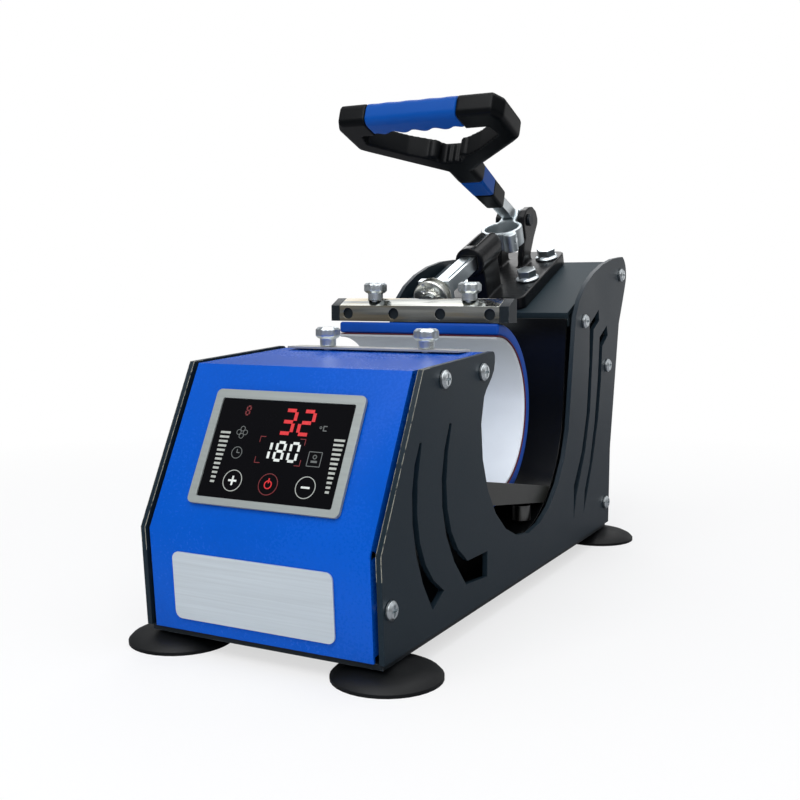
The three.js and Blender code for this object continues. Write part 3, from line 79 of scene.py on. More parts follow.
class Wire:
    """A shader socket that can be used in sums, so that masks read as plain expressions."""

    def __init__(self, sheet: "ShaderSheet", socket: bpy.types.NodeSocket) -> None:
        """Keeps the output socket and the sheet that new Math nodes go on."""
        self.sheet = sheet
        self.socket = socket

    def _math(self, operation: str, *values: "Wire | float") -> "Wire":
        """Adds one Math node with its inputs in order, and gives its result."""
        return self.sheet.node("Math", {"operation": operation}, dict(enumerate(values)))

    def __add__(self, other: "Wire | float") -> "Wire":
        """Adds two values."""
        return self._math("ADD", self, other)

    __radd__ = __add__

    def __sub__(self, other: "Wire | float") -> "Wire":
        """Takes a value away."""
        return self._math("SUBTRACT", self, other)

    def __rsub__(self, other: float) -> "Wire":
        """Takes this value away from a number."""
        return self._math("SUBTRACT", other, self)

    def __mul__(self, other: "Wire | float") -> "Wire":
        """Multiplies two values."""
        return self._math("MULTIPLY", self, other)

    __rmul__ = __mul__

    def __gt__(self, other: float) -> "Wire":
        """Gives one where this value is greater, and zero elsewhere."""
        return self._math("GREATER_THAN", self, other)

    def clamped(self, low: float, high: float) -> "Wire":
        """Maps the range from low to high onto zero to one, and stops there."""
        values = {"Value": self, "From Min": low, "From Max": high}
        return self.sheet.node("MapRange", {"clamp": True}, values)


class ShaderSheet:
    """The node tree of a material or of the world, with short ways to add nodes."""

    def __init__(self, name: str, world: bool = False) -> None:
        """Starts an empty tree.

        Args:
            name: The name of the material or world.
            world: Whether it is a world.
        """
        self.owner = (bpy.data.worlds if world else bpy.data.materials).new(name)
        self.owner.use_nodes = True
        self.tree = self.owner.node_tree
        self.tree.nodes.clear()
        self.output = self.tree.nodes.new(f"ShaderNodeOutput{'World' if world else 'Material'}")

    def feed(self, target: bpy.types.NodeSocket, value: object) -> None:
        """Links or sets one input.

        Args:
            target: The input socket.
            value: A wire, a number or a colour.
        """
        if isinstance(value, Wire):
            self.tree.links.new(value.socket, target)
        elif isinstance(value, tuple) and target.type == "RGBA":
            target.default_value = (*value, 1.0)
        else:
            target.default_value = value

    def node(
        self,
        kind: str,
        settings: dict[str, object] | None = None,
        values: dict[str | int, object] | None = None,
        out: str | int = 0,
        stops: Sequence[tuple[float, Colour]] = (),
    ) -> Wire:
        """Adds any node.

        Args:
            kind: The node's type, without the ShaderNode that each type starts with.
            settings: Its own settings, which are set first.
            values: The values or links of its sockets.
            out: The output to hand back.
            stops: The stops of a colour ramp, as places and colours.

        Returns:
            The chosen output.
        """
        made = self.tree.nodes.new(f"ShaderNode{kind}")
        for key, value in (settings or {}).items():
            setattr(made, key, value)
        if stops:
            ramp = made.color_ramp
            while len(ramp.elements) < len(stops):
                ramp.elements.new(1.0)
            for element, (place, colour) in zip(ramp.elements, stops):
                element.position = place
                element.color = (*colour, 1.0)
        for key, value in (values or {}).items():
            self.feed(made.inputs[key], value)
        return Wire(self, made.outputs[out])

    def place(self, stretch: Point = EVEN) -> Wire:
        """Gives the object's own coordinates, repeated more or less along each axis."""
        where = self.node("TexCoord", out="Object")
        return self.node("Mapping", None, {"Vector": where, "Scale": stretch})

    def axis(self, letter: str) -> Wire:
        """Gives one of the object's own coordinates."""
        return self.node("SeparateXYZ", None, {"Vector": self.place()}, out=letter)

    def noise(self, scale: float, detail: float = 3.0, stretch: Point = EVEN) -> Wire:
        """Gives a noise from zero to one, with its features a metre and its finer layers."""
        values = {"Vector": self.place(stretch), "Scale": scale, "Detail": detail}
        return self.node("TexNoise", None, values)

    def blend(self, share: Wire | float, first: object, second: object) -> Wire:
        """Mixes two colours, by how much of the second one shows."""
        values = {0: share, 6: first, 7: second}
        return self.node("Mix", {"data_type": "RGBA"}, values, out=2)

    def ray(self, kind: str) -> Wire:
        """Gives one for rays of a kind, such as Camera or Glossy, and zero for others."""
        return self.node("LightPath", out=f"Is {kind} Ray")

    def mix(self, share: Wire, first: Wire, second: Wire) -> Wire:
        """Mixes two shaders, by how much of the second one shows."""
        return self.node("MixShader", None, {0: share, 1: first, 2: second})

    def softened(self, radius: float) -> Wire:
        """Gives the normal with its corners softened by a radius in millimetres."""
        return self.node("Bevel", BEVEL_SAMPLES, {"Radius": radius * MM})

    def edge_mask(self, radius: float) -> Wire:
        """Marks the corners of a piece, where paint rubs off.

        Args:
            radius: How far from the corner the mark reaches, in millimetres.

        Returns:
            A share that grows on a corner and is zero on a flat.
        """
        true = self.node("NewGeometry", out="True Normal")
        values = {0: self.softened(radius), 1: true}
        return 1.0 - self.node("VectorMath", {"operation": "DOT_PRODUCT"}, values, out="Value")

    def relief(self, height: Wire, depth: float, corner: float, strength: float) -> Wire:
        """Turns a height pattern into a surface relief over softened corners.

        Args:
            height: The pattern.
            depth: Its depth in millimetres.
            corner: The radius that corners are softened by, in millimetres.
            strength: The share of the relief that shows.

        Returns:
            The bent normal.
        """
        values = {"Height": height, "Distance": depth * MM, "Strength": strength}
        if corner:
            values["Normal"] = self.softened(corner)
        return self.node("Bump", None, values)

    def close(self, surface: Wire) -> Material | bpy.types.World:
        """Joins a shader to the output, and gives the material or world."""
        self.feed(self.output.inputs["Surface"], surface)
        return self.owner

    def finish(self, **sockets: object) -> Material:
        """Closes a material with the surface shader, whose sockets have underscores here."""
        values = {key.replace("_", " "): value for key, value in sockets.items()}
        return self.close(self.node("BsdfPrincipled", None, values))


@dataclass(frozen=True)
class Coating:
    """A finish, and the colour that it starts from."""

    colour: Colour

    def draw(self, sheet: ShaderSheet) -> Material:
        """Draws the finish. Each kind of finish has its own way.

        Args:
            sheet: An empty sheet.

        Returns:
            The finished material.
        """
        return sheet.finish(Base_Color=self.colour)


@dataclass(frozen=True)
class PowderCoat(Coating):
    """Baked powder paint on sheet steel: a fine orange peel, dust, and rubbed corners.

    The rubbed line is a plane, as its shares of Y and Z and its limit in metres, and pale corners
    are drawn on one side of it only.
    """

    rubbed: Colour
    roughness: float = 0.42
    shine: float = 0.22
    peel: float = 0.035
    grain: float = 900.0
    wear: float = 0.3
    rubbed_line: tuple[float, float, float] = (0.0, 0.0, 1.0)
    chip_range: tuple[float, float] = (0.44, 0.60)
    corner: float = 0.35
    dust: Colour = (0.35, 0.36, 0.38)

    def draw(self, sheet: ShaderSheet) -> Material:
        """Draws the finish."""
        fine = sheet.noise(self.grain, 2.0)
        broad = sheet.noise(14.0, 4.0)
        clouds = broad.clamped(0.35, 0.7) * 0.35 + fine.clamped(0.4, 0.7) * 0.3
        tint = sheet.blend(clouds, self.colour, shade(self.colour, 1.25, 0.002))
        specks = sheet.noise(2600.0, 1.0).clamped(0.69, 0.78)
        dusty = sheet.blend(specks * 0.10, tint, self.dust)
        chips = sheet.noise(260.0, 4.0).clamped(*self.chip_range)
        corners = sheet.edge_mask(0.8).clamped(0.04, 0.2)
        share_y, share_z, limit = self.rubbed_line
        ahead = (limit - (sheet.axis("Y") * share_y + sheet.axis("Z") * share_z)) > 0.0
        return sheet.finish(
            Base_Color=sheet.blend(corners * chips * ahead * self.wear, dusty, self.rubbed),
            Roughness=broad * 0.14 + fine * 0.10 + (self.roughness - 0.12),
            Specular_IOR_Level=self.shine,
            Normal=sheet.relief(fine, self.peel, self.corner, 0.6),
        )


@dataclass(frozen=True)
class EmbossedEnamel(Coating):
    """Glossy enamel on a liner sheet with a faint grid of pressed dimples."""

    roughness: float = 0.2
    dimples: float = 95.0

    def draw(self, sheet: ShaderSheet) -> Material:
        """Draws the finish."""
        cells = {"Vector": sheet.place(), "Scale": self.dimples, "Randomness": 0.0}
        dots = sheet.node("TexVoronoi", None, cells).clamped(0.12, 0.3)
        broad = sheet.noise(18.0, 4.0)
        clouds = broad.clamped(0.4, 0.75) * 0.4
        return sheet.finish(
            Base_Color=sheet.blend(clouds, self.colour, shade(self.colour, 1.6, 0.003)),
            Roughness=broad * 0.16 + (self.roughness - 0.08),
            Specular_IOR_Level=0.35,
            Normal=sheet.relief(dots, 0.05, 0.4, 0.5),
        )


@dataclass(frozen=True)
class PlatedMetal(Coating):
    """Zinc or chrome plate: a cloudy tint, fine handling marks and soft corners."""

    tint: Colour
    roughness: float = 0.26
    marks: float = 0.012
    corner: float = 0.3

    def draw(self, sheet: ShaderSheet) -> Material:
        """Draws the finish."""
        cloud = sheet.noise(90.0, 4.0)
        fine = sheet.noise(1500.0, 3.0, (1.0, 0.25, 1.0))
        return sheet.finish(
            Base_Color=sheet.blend(cloud.clamped(0.35, 0.75) * 0.7, self.colour, self.tint),
            Metallic=1.0,
            Roughness=cloud * 0.12 + fine * 0.06 + (self.roughness - 0.09),
            Normal=sheet.relief(fine, self.marks, self.corner, 0.5),
        )


@dataclass(frozen=True)
class DrawnSheet(Coating):
    """Polished sheet drawn along X, with painted reflections as long dark, bright and warm cream
    lines.
    """

    dark_reflection: Colour
    warm_reflection: Colour
    roughness: float = 0.15

    def draw(self, sheet: ShaderSheet) -> Material:
        """Draws the finish."""
        # Painted reflections: long bands of the dark colour and the warm colour stand in for the
        # studio mirrored in the polished face.
        lines = sheet.noise(150.0, 2.0, (0.06, 1.0, 1.0)).clamped(0.40, 0.62)
        warm_reflection_share = sheet.noise(210.0, 2.0, (0.09, 1.0, 1.0)).clamped(0.55, 0.66)
        fine = sheet.noise(1500.0, 3.0, (0.05, 1.0, 1.0))
        metal = sheet.blend(lines, self.colour, self.dark_reflection)
        return sheet.finish(
            Base_Color=sheet.blend(warm_reflection_share * 0.6, metal, self.warm_reflection),
            Metallic=1.0,
            Roughness=fine * 0.08 + (self.roughness - 0.04),
            Normal=sheet.relief(fine, 0.004, 0.3, 0.5),
        )


@dataclass(frozen=True)
class BrushedFoil(Coating):
    """Aluminium foil brushed along X, as on a name plate or bezel."""

    roughness: float = 0.34
    metallic: float = 0.85
    corner: float = 0.2

    def draw(self, sheet: ShaderSheet) -> Material:
        """Draws the finish."""
        hair = sheet.noise(700.0, 3.0, (0.02, 1.0, 1.0))
        lines = hair.clamped(0.3, 0.7) * 0.6
        return sheet.finish(
            Base_Color=sheet.blend(lines, self.colour, shade(self.colour, 0.82)),
            Metallic=self.metallic,
            Roughness=hair * 0.16 + sheet.noise(30.0, 2.0) * 0.08 + (self.roughness - 0.12),
            Normal=sheet.relief(hair, 0.01, self.corner, 0.5),
        )


@dataclass(frozen=True)
class MouldedPlastic(Coating):
    """Moulded plastic with a spark-eroded grain and slightly polished corners."""

    roughness: float = 0.46
    shine: float = 0.12
    grain: float = 1400.0
    depth: float = 0.03
    corner: float = 0.5

    def draw(self, sheet: ShaderSheet) -> Material:
        """Draws the finish."""
        broad = sheet.noise(25.0, 3.0)
        polish = sheet.edge_mask(1.2).clamped(0.02, 0.3)
        pale = polish * 0.5 + broad.clamped(0.45, 0.8) * 0.3
        return sheet.finish(
            Base_Color=sheet.blend(pale, self.colour, shade(self.colour, 1.35, 0.001)),
            Roughness=broad * 0.12 + (self.roughness - 0.06) - polish * 0.12,
            Specular_IOR_Level=self.shine,
            Normal=sheet.relief(sheet.noise(self.grain, 3.0), self.depth, self.corner, 0.5),
        )


@dataclass(frozen=True)
class SoftRubber(Coating):
    """Moulded rubber with a dull skin and a little dust."""

    roughness: float = 0.62
    dust: float = 0.10
    dusty: Colour = (0.32, 0.32, 0.33)

    def draw(self, sheet: ShaderSheet) -> Material:
        """Draws the finish."""
        broad = sheet.noise(40.0, 4.0)
        return sheet.finish(
            Base_Color=sheet.blend(broad.clamped(0.42, 0.75) * self.dust, self.colour, self.dusty),
            Roughness=broad * 0.2 + (self.roughness - 0.1),
            Specular_IOR_Level=0.25,
            Normal=sheet.relief(sheet.noise(600.0, 4.0), 0.04, 0.4, 0.5),
        )


@dataclass(frozen=True)
class CastPaint(Coating):
    """Glossy paint over a sand casting: shallow lumps and pits."""

    roughness: float = 0.34
    worn: Colour = (0.16, 0.165, 0.17)

    def draw(self, sheet: ShaderSheet) -> Material:
        """Draws the finish."""
        corners = sheet.edge_mask(0.8).clamped(0.08, 0.3)
        worn = corners * sheet.noise(300.0, 3.0).clamped(0.45, 0.6)
        return sheet.finish(
            Base_Color=sheet.blend(worn * 0.5, self.colour, self.worn),
            Roughness=sheet.noise(35.0, 3.0) * 0.18 + (self.roughness - 0.09),
            Specular_IOR_Level=0.22,
            Normal=sheet.relief(sheet.noise(220.0, 5.0), 0.22, 0.5, 0.7),
        )


@dataclass(frozen=True)
class SiliconeMat(Coating):
    """Silicone over glass cloth: the weave shows faintly through the skin."""

    roughness: float = 0.48
    threads: float = 520.0

    def draw(self, sheet: ShaderSheet) -> Material:
        """Draws the finish."""
        warp, weft = (self.bands(sheet, letter) for letter in "XZ")
        weave = (warp + weft) * 0.5
        broad = sheet.noise(28.0, 4.0)
        pale = broad.clamped(0.4, 0.75) * 0.5 + weave * 0.12
        return sheet.finish(
            Base_Color=sheet.blend(pale, self.colour, shade(self.colour, 1.4, 0.002)),
            Roughness=broad * 0.18 + (self.roughness - 0.09),
            Specular_IOR_Level=0.2,
            Normal=sheet.relief(weave, 0.05, 0.6, 0.5),
        )

    def bands(self, sheet: ShaderSheet, letter: str) -> Wire:
        """Draws the threads that follow each other along one axis."""
        wave = {"Vector": sheet.place(), "Scale": self.threads, "Distortion": 0.4, "Detail": 1.0}
        return sheet.node("TexWave", {"bands_direction": letter}, wave)


@dataclass(frozen=True)
class PressedFelt(Coating):
    """Pale heat-proof lining with a fibrous face, faint scorching and painted shade over its upper
    edge.
    """

    stained: Colour
    # Painted shade: the colour the upper edge is darkened to, and the heights in metres where the
    # darkening begins and is full.
    painted_shade: Colour = (0.42, 0.44, 0.45)
    painted_shade_range: tuple[float, float] = (0.118, 0.158)

    def draw(self, sheet: ShaderSheet) -> Material:
        """Draws the finish."""
        fibre = sheet.noise(900.0, 6.0)
        stains = sheet.noise(22.0, 4.0).clamped(0.45, 0.8) * 0.5
        clean = sheet.blend(stains, self.colour, self.stained)
        # Painted shade that darkens the lining upwards over its upper edge.
        painted_shade_share = sheet.axis("Z").clamped(*self.painted_shade_range)
        return sheet.finish(
            Base_Color=sheet.blend(painted_shade_share, clean, self.painted_shade),
            Roughness=fibre * 0.2 + 0.6,
            Normal=sheet.relief(fibre, 0.12, 0.0, 0.5),
        )


@dataclass(frozen=True)
class TouchGlass(Coating):
    """Black glass with a mirror skin and faint fingertip smears."""

    colour: Colour = (0.002, 0.002, 0.003)
    smeared: Colour = (0.006, 0.006, 0.007)

    def draw(self, sheet: ShaderSheet) -> Material:
        """Draws the finish."""
        smear = sheet.noise(45.0, 4.0)
        return sheet.finish(
            Base_Color=sheet.blend(smear.clamped(0.55, 0.8) * 0.2, self.colour, self.smeared),
            Roughness=smear.clamped(0.5, 0.8) * 0.10 + 0.05,
            Specular_IOR_Level=0.07,
            Normal=sheet.relief(smear, 0.002, 0.3, 0.3),
        )


@dataclass(frozen=True)
class LitMark(Coating):
    """A display mark lit from behind, a little uneven as lamps behind a mask are."""

    strength: float

    def draw(self, sheet: ShaderSheet) -> Material:
        """Draws the finish."""
        glow = sheet.noise(500.0, 2.0).clamped(0.2, 0.7)
        return sheet.finish(
            Base_Color=(0.01, 0.01, 0.01),
            Roughness=0.35,
            Emission_Color=sheet.blend(glow, shade(self.colour, 0.7), self.colour),
            Emission_Strength=self.strength,
        )


@dataclass(frozen=True)
class CircuitBoard(Coating):
    """Green solder mask with paler tracks."""

    colour: Colour = (0.008, 0.10, 0.035)
    tracks: Colour = (0.03, 0.22, 0.08)

    def draw(self, sheet: ShaderSheet) -> Material:
        """Draws the finish."""
        cells = {"Vector": sheet.place(), "Scale": 160.0}
        gaps = sheet.node("TexVoronoi", {"feature": "DISTANCE_TO_EDGE"}, cells)
        mask = 1.0 - gaps.clamped(0.03, 0.06)
        colour = sheet.blend(mask * 0.6, self.colour, self.tracks)
        return sheet.finish(Base_Color=colour, Roughness=mask * 0.1 + 0.35)


class Finish(Enum):
    """Every finish of the press."""

    BLACK_STEEL = PowderCoat((0.0095, 0.0140, 0.018), (0.30, 0.32, 0.34))
    # A pale chipped line is drawn along the slanted front edges of the side panels, ahead of the
    # plane in rubbed_line.
    PANEL_STEEL = PowderCoat(
        (0.0080, 0.0175, 0.0260),
        (0.56, 0.54, 0.44),
        wear=1.0,
        rubbed_line=(0.887, -0.462, -0.1985),
        chip_range=(0.36, 0.48),
    )
    LINER_ENAMEL = EmbossedEnamel((0.0035, 0.004, 0.0045))
    SLATE_STEEL = PowderCoat((0.020, 0.032, 0.040), (0.14, 0.16, 0.18), 0.52, 0.10)
    CRADLE_STEEL = PowderCoat((0.030, 0.031, 0.027), (0.20, 0.20, 0.18), 0.34, 0.4)
    BLUE_STEEL = PowderCoat(
        (0.0, 0.082, 0.49),
        (0.004, 0.03, 0.16),
        roughness=0.26,
        shine=0.15,
        peel=0.004,
        grain=700.0,
    )
    ZINC = PlatedMetal((0.74, 0.79, 0.81), (0.56, 0.62, 0.65), 0.30)
    CAST_ZINC = PlatedMetal((0.66, 0.71, 0.73), (0.50, 0.57, 0.60), 0.46, 0.05)
    TURNED_STEEL = PlatedMetal((0.74, 0.75, 0.71), (0.60, 0.61, 0.57), 0.30, 0.004)
    # Its dark and cream colours are painted reflections on the clamp channel.
    DRAWN_CHROME = DrawnSheet((0.56, 0.57, 0.53), (0.14, 0.145, 0.14), (0.42, 0.35, 0.23))
    # Painted shade: a darkened copy of bright plating for the chrome bolts that sit in shade under
    # the cradle lip.
    SHADED_CHROME = PlatedMetal((0.20, 0.20, 0.19), (0.12, 0.12, 0.12), 0.30)
    BLACK_CASTING = CastPaint((0.004, 0.0045, 0.0055), 0.30)
    BLACK_PLASTIC = MouldedPlastic((0.0018, 0.0024, 0.003), 0.36)
    BLUE_PLASTIC = MouldedPlastic((0.0, 0.066, 0.33), 0.42, 0.14)
    RUBBER = SoftRubber((0.0025, 0.0032, 0.0040), 0.5, 0.01)
    MAT = SiliconeMat((0.0, 0.054, 0.33))
    # The lining's upper edge carries painted shade.
    LINING = PressedFelt((0.83, 0.88, 0.94), (0.70, 0.73, 0.79))
    SEAM = SoftRubber((0.10, 0.008, 0.02), 0.5, 0.05)
    BEZEL = BrushedFoil((0.32, 0.35, 0.34), 0.45, 0.25)
    NAME_PLATE = BrushedFoil((0.68, 0.75, 0.79), 0.38, 0.3)
    STRIP = BrushedFoil((0.62, 0.62, 0.58), 0.34, 0.7)
    GLASS = TouchGlass()
    RED_LIT = LitMark((0.80, 0.012, 0.02), 1.0)
    WHITE_LIT = LitMark((0.92, 0.98, 0.95), 0.95)
    BAR_LIT = LitMark((0.66, 0.70, 0.66), 0.75)
    ICON_LIT = LitMark((0.30, 0.33, 0.33), 0.42)
    DIM_RED_LIT = LitMark((0.35, 0.01, 0.02), 0.5)
    BOARD = CircuitBoard()


class Dresser:
    """Builds each finish once and puts it on pieces."""

    def __init__(self) -> None:
        """Starts with no finish built."""
        self.built: dict[Finish, Material] = {}

    def dress(self, piece: Piece, finish: Finish) -> None:
        """Puts one finish all over a piece.

        Args:
            piece: The piece.
            finish: Its finish, which is built on first use.
        """
        if finish not in self.built:
            sheet = ShaderSheet(f"{finish.name.lower()}_finish")
            self.built[finish] = finish.value.draw(sheet)
        piece.data.materials.clear()
        piece.data.materials.append(self.built[finish])


@dataclass(frozen=True)
class Datum:
    """A place and a tilt about X, in degrees, that a sub-assembly is drawn from."""

    y: float
    z: float
    tilt: float

    def matrix(self) -> Matrix:
        """Gives the datum's place in the scene."""
        place = Matrix.Translation(metres(0.0, self.y, self.z))
        return place @ Matrix.Rotation(math.radians(self.tilt), 4, "X")


DECK = Datum(81.55, 174.5, 22.0)
LEVER = Datum(148.757, 243.069, 161.5)
FACE = Datum(-196.65, 66.0, 62.5)


class Bench:
    """Modelling steps that more than one sub-assembly uses."""

    @staticmethod
    def clear() -> None:
        """Leaves edit mode and deselects everything."""
        if bpy.context.object and bpy.context.object.mode != "OBJECT":
            bpy.ops.object.mode_set(mode="OBJECT")
        for item in bpy.context.selected_objects:
            item.select_set(False)

    @staticmethod
    def activate(piece: Piece, also: Sequence[Piece] = ()) -> None:
        """Makes one piece the active one, and selects it alone or with others.

        Args:
            piece: The piece.
            also: Others that are selected with it.
        """
        Bench.clear()
        for item in (piece, *also):
            item.select_set(True)
        bpy.context.view_layer.objects.active = piece

    @staticmethod
    def edit(piece: Piece) -> None:
        """Opens a piece in edit mode with all of it selected."""
        Bench.activate(piece)
        bpy.ops.object.mode_set(mode="EDIT")
        bpy.ops.mesh.select_all(action="SELECT")

    @staticmethod
    def leave() -> None:
        """Deselects the mesh and leaves edit mode."""
        bpy.ops.mesh.select_all(action="DESELECT")
        bpy.ops.object.mode_set(mode="OBJECT")

    @staticmethod
    def named(name: str) -> Piece:
        """Names the active piece and its mesh, and gives the piece."""
        piece = bpy.context.object
        piece.name = piece.data.name = name
        return piece

    @staticmethod
    def settle(piece: Piece, datum: Datum | None = None) -> Piece:
        """Writes a piece's place into its mesh, and then moves it to a datum.

        Args:
            piece: The piece.
            datum: The datum, or None to leave it where it is.

        Returns:
            The same piece.
        """
        Bench.activate(piece)
        bpy.ops.object.transform_apply(location=True, rotation=True, scale=True)
        if datum:
            piece.matrix_world = datum.matrix()
            bpy.ops.object.transform_apply(location=True, rotation=True, scale=True)
        return piece

    @staticmethod
    def rectangle(
        place: Point, sides: tuple[float, float], turn: Point = (0.0, 0.0, 0.0)
    ) -> Piece:
        """Adds a flat rectangle.

        Args:
            place: Its middle.
            sides: Its two sides.
            turn: Its rotation, in radians.

        Returns:
            The rectangle, with its place in its mesh.
        """
        Bench.clear()
        bpy.ops.mesh.primitive_plane_add(size=1.0, location=metres(*place), rotation=turn)
        made = bpy.context.object
        made.scale = (*metres(*sides), 1.0)
        return Bench.settle(made)

    @staticmethod
    def draw_on(step: Sequence[float], scale: Point, centre: Sequence[float]) -> None:
        """Extrudes the selected faces by a step and resizes their end about a centre."""
        bpy.ops.mesh.extrude_region_move(TRANSFORM_OT_translate={"value": step})
        bpy.ops.transform.resize(value=scale, center_override=centre)

    @staticmethod
    def apply(piece: Piece, kind: str, **settings: object) -> None:
        """Adds a modifier and applies it.

        Args:
            piece: The piece.
            kind: The modifier's type.
            settings: Its settings.
        """
        Bench.activate(piece)
        modifier = piece.modifiers.new(kind.lower(), kind)
        for key, value in settings.items():
            setattr(modifier, key, value)
        bpy.ops.object.modifier_apply(modifier=modifier.name)

    @staticmethod
    def bevel(piece: Piece, width: float, angle: float) -> None:
        """Rounds the edges of a piece that are sharper than an angle in radians."""
        sharp = {"limit_method": "ANGLE", "angle_limit": angle}
        Bench.apply(piece, "BEVEL", width=width * MM, segments=3, **sharp)

    @staticmethod
    def joined(pieces: Sequence[Piece], name: str) -> Piece:
        """Joins pieces into the first one, under a new name."""
        Bench.activate(pieces[0], pieces[1:])
        bpy.ops.object.join()
        return Bench.named(name)

    @staticmethod
    def outward(piece: Piece) -> None:
        """Merges doubled vertices and turns every face outwards."""
        Bench.edit(piece)
        bpy.ops.mesh.remove_doubles(threshold=MERGED_WITHIN)
        bpy.ops.mesh.normals_make_consistent(inside=False)
        bpy.ops.object.mode_set(mode="OBJECT")

    @staticmethod
    def smooth(piece: Piece, degrees: float) -> None:
        """Shades a piece smooth across angles up to a limit."""
        Bench.activate(piece)
        bpy.ops.object.shade_smooth_by_angle(angle=math.radians(degrees))


@dataclass
class CarriedPieces:
    """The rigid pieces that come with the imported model, and the finish of each.

    A piece that isn't named here is zinc-plated, or gives its place to a finer piece.
    """

    dresser: Dresser
    crease: float = 32.0
    finishes: tuple[tuple[Finish, str], ...] = (
        (Finish.BLACK_STEEL, "rear_cover base_plate lower_clamp_bar upper_clamp_bar fork_pin"),
        (Finish.CRADLE_STEEL, "wrap_cradle"),
        (Finish.PANEL_STEEL, "side_panel_right side_panel_left"),
        (Finish.LINER_ENAMEL, "well_liner"),
        (Finish.SLATE_STEEL, "lever_deck"),
        (Finish.BLUE_STEEL, "front_cover top_shelf"),
        (Finish.DRAWN_CHROME, "upper_clamp_channel"),
        (Finish.STRIP, "lower_clamp_strip"),
        # The cradle bolts carry painted shade in place of their bright plating.
        (Finish.SHADED_CHROME, "cradle_bolt_right cradle_bolt_left"),
        (Finish.BLACK_PLASTIC, "power_inlet rocker_switch"),
        (Finish.BLUE_PLASTIC, "handle_band"),
        (Finish.RUBBER, "suction_foot_front_right suction_foot_front_left"),
        (Finish.RUBBER, "suction_foot_rear_right suction_foot_rear_left"),
        (Finish.BEZEL, "display_bezel"),
        (Finish.GLASS, "display_glass"),
        (Finish.NAME_PLATE, "name_plate"),
        (Finish.BOARD, "control_board"),
    )

    def build(self) -> None:
        """Dresses every piece, and smooths the round ones."""
        named = {name: finish for finish, names in self.finishes for name in names.split()}
        for name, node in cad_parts.items():
            self.dresser.dress(node, named.get(name, Finish.ZINC))
            self.soften(node)
        LOG.info("dressed %d carried pieces", len(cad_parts))

    def soften(self, node: Piece) -> None:
        """Shades a carried piece smooth across shallow angles, and leaves its mesh alone.

        Args:
            node: The carried piece.
        """
        node.data.polygons.foreach_set("use_smooth", [True] * len(node.data.polygons))
        weld = node.modifiers.new("weld", "WELD")
        weld.merge_threshold = MERGED_WITHIN
        split = node.modifiers.new("split", "EDGE_SPLIT")
        split.split_angle = math.radians(self.crease)
        split.use_edge_sharp = False


@dataclass(frozen=True)
class Rounding:
    """How a carried piece is copied and rounded.

    The body is that of the new piece, and the slot is not used. Corners finer than the grain are
    lost, rounds is how often the copy is smoothed, and wider scales its width.
    """

    node: str
    name: str
    body: str
    finish: Finish
    slot: str
    grain: float = 0.7
    rounds: int = 6
    wider: float = 1.0


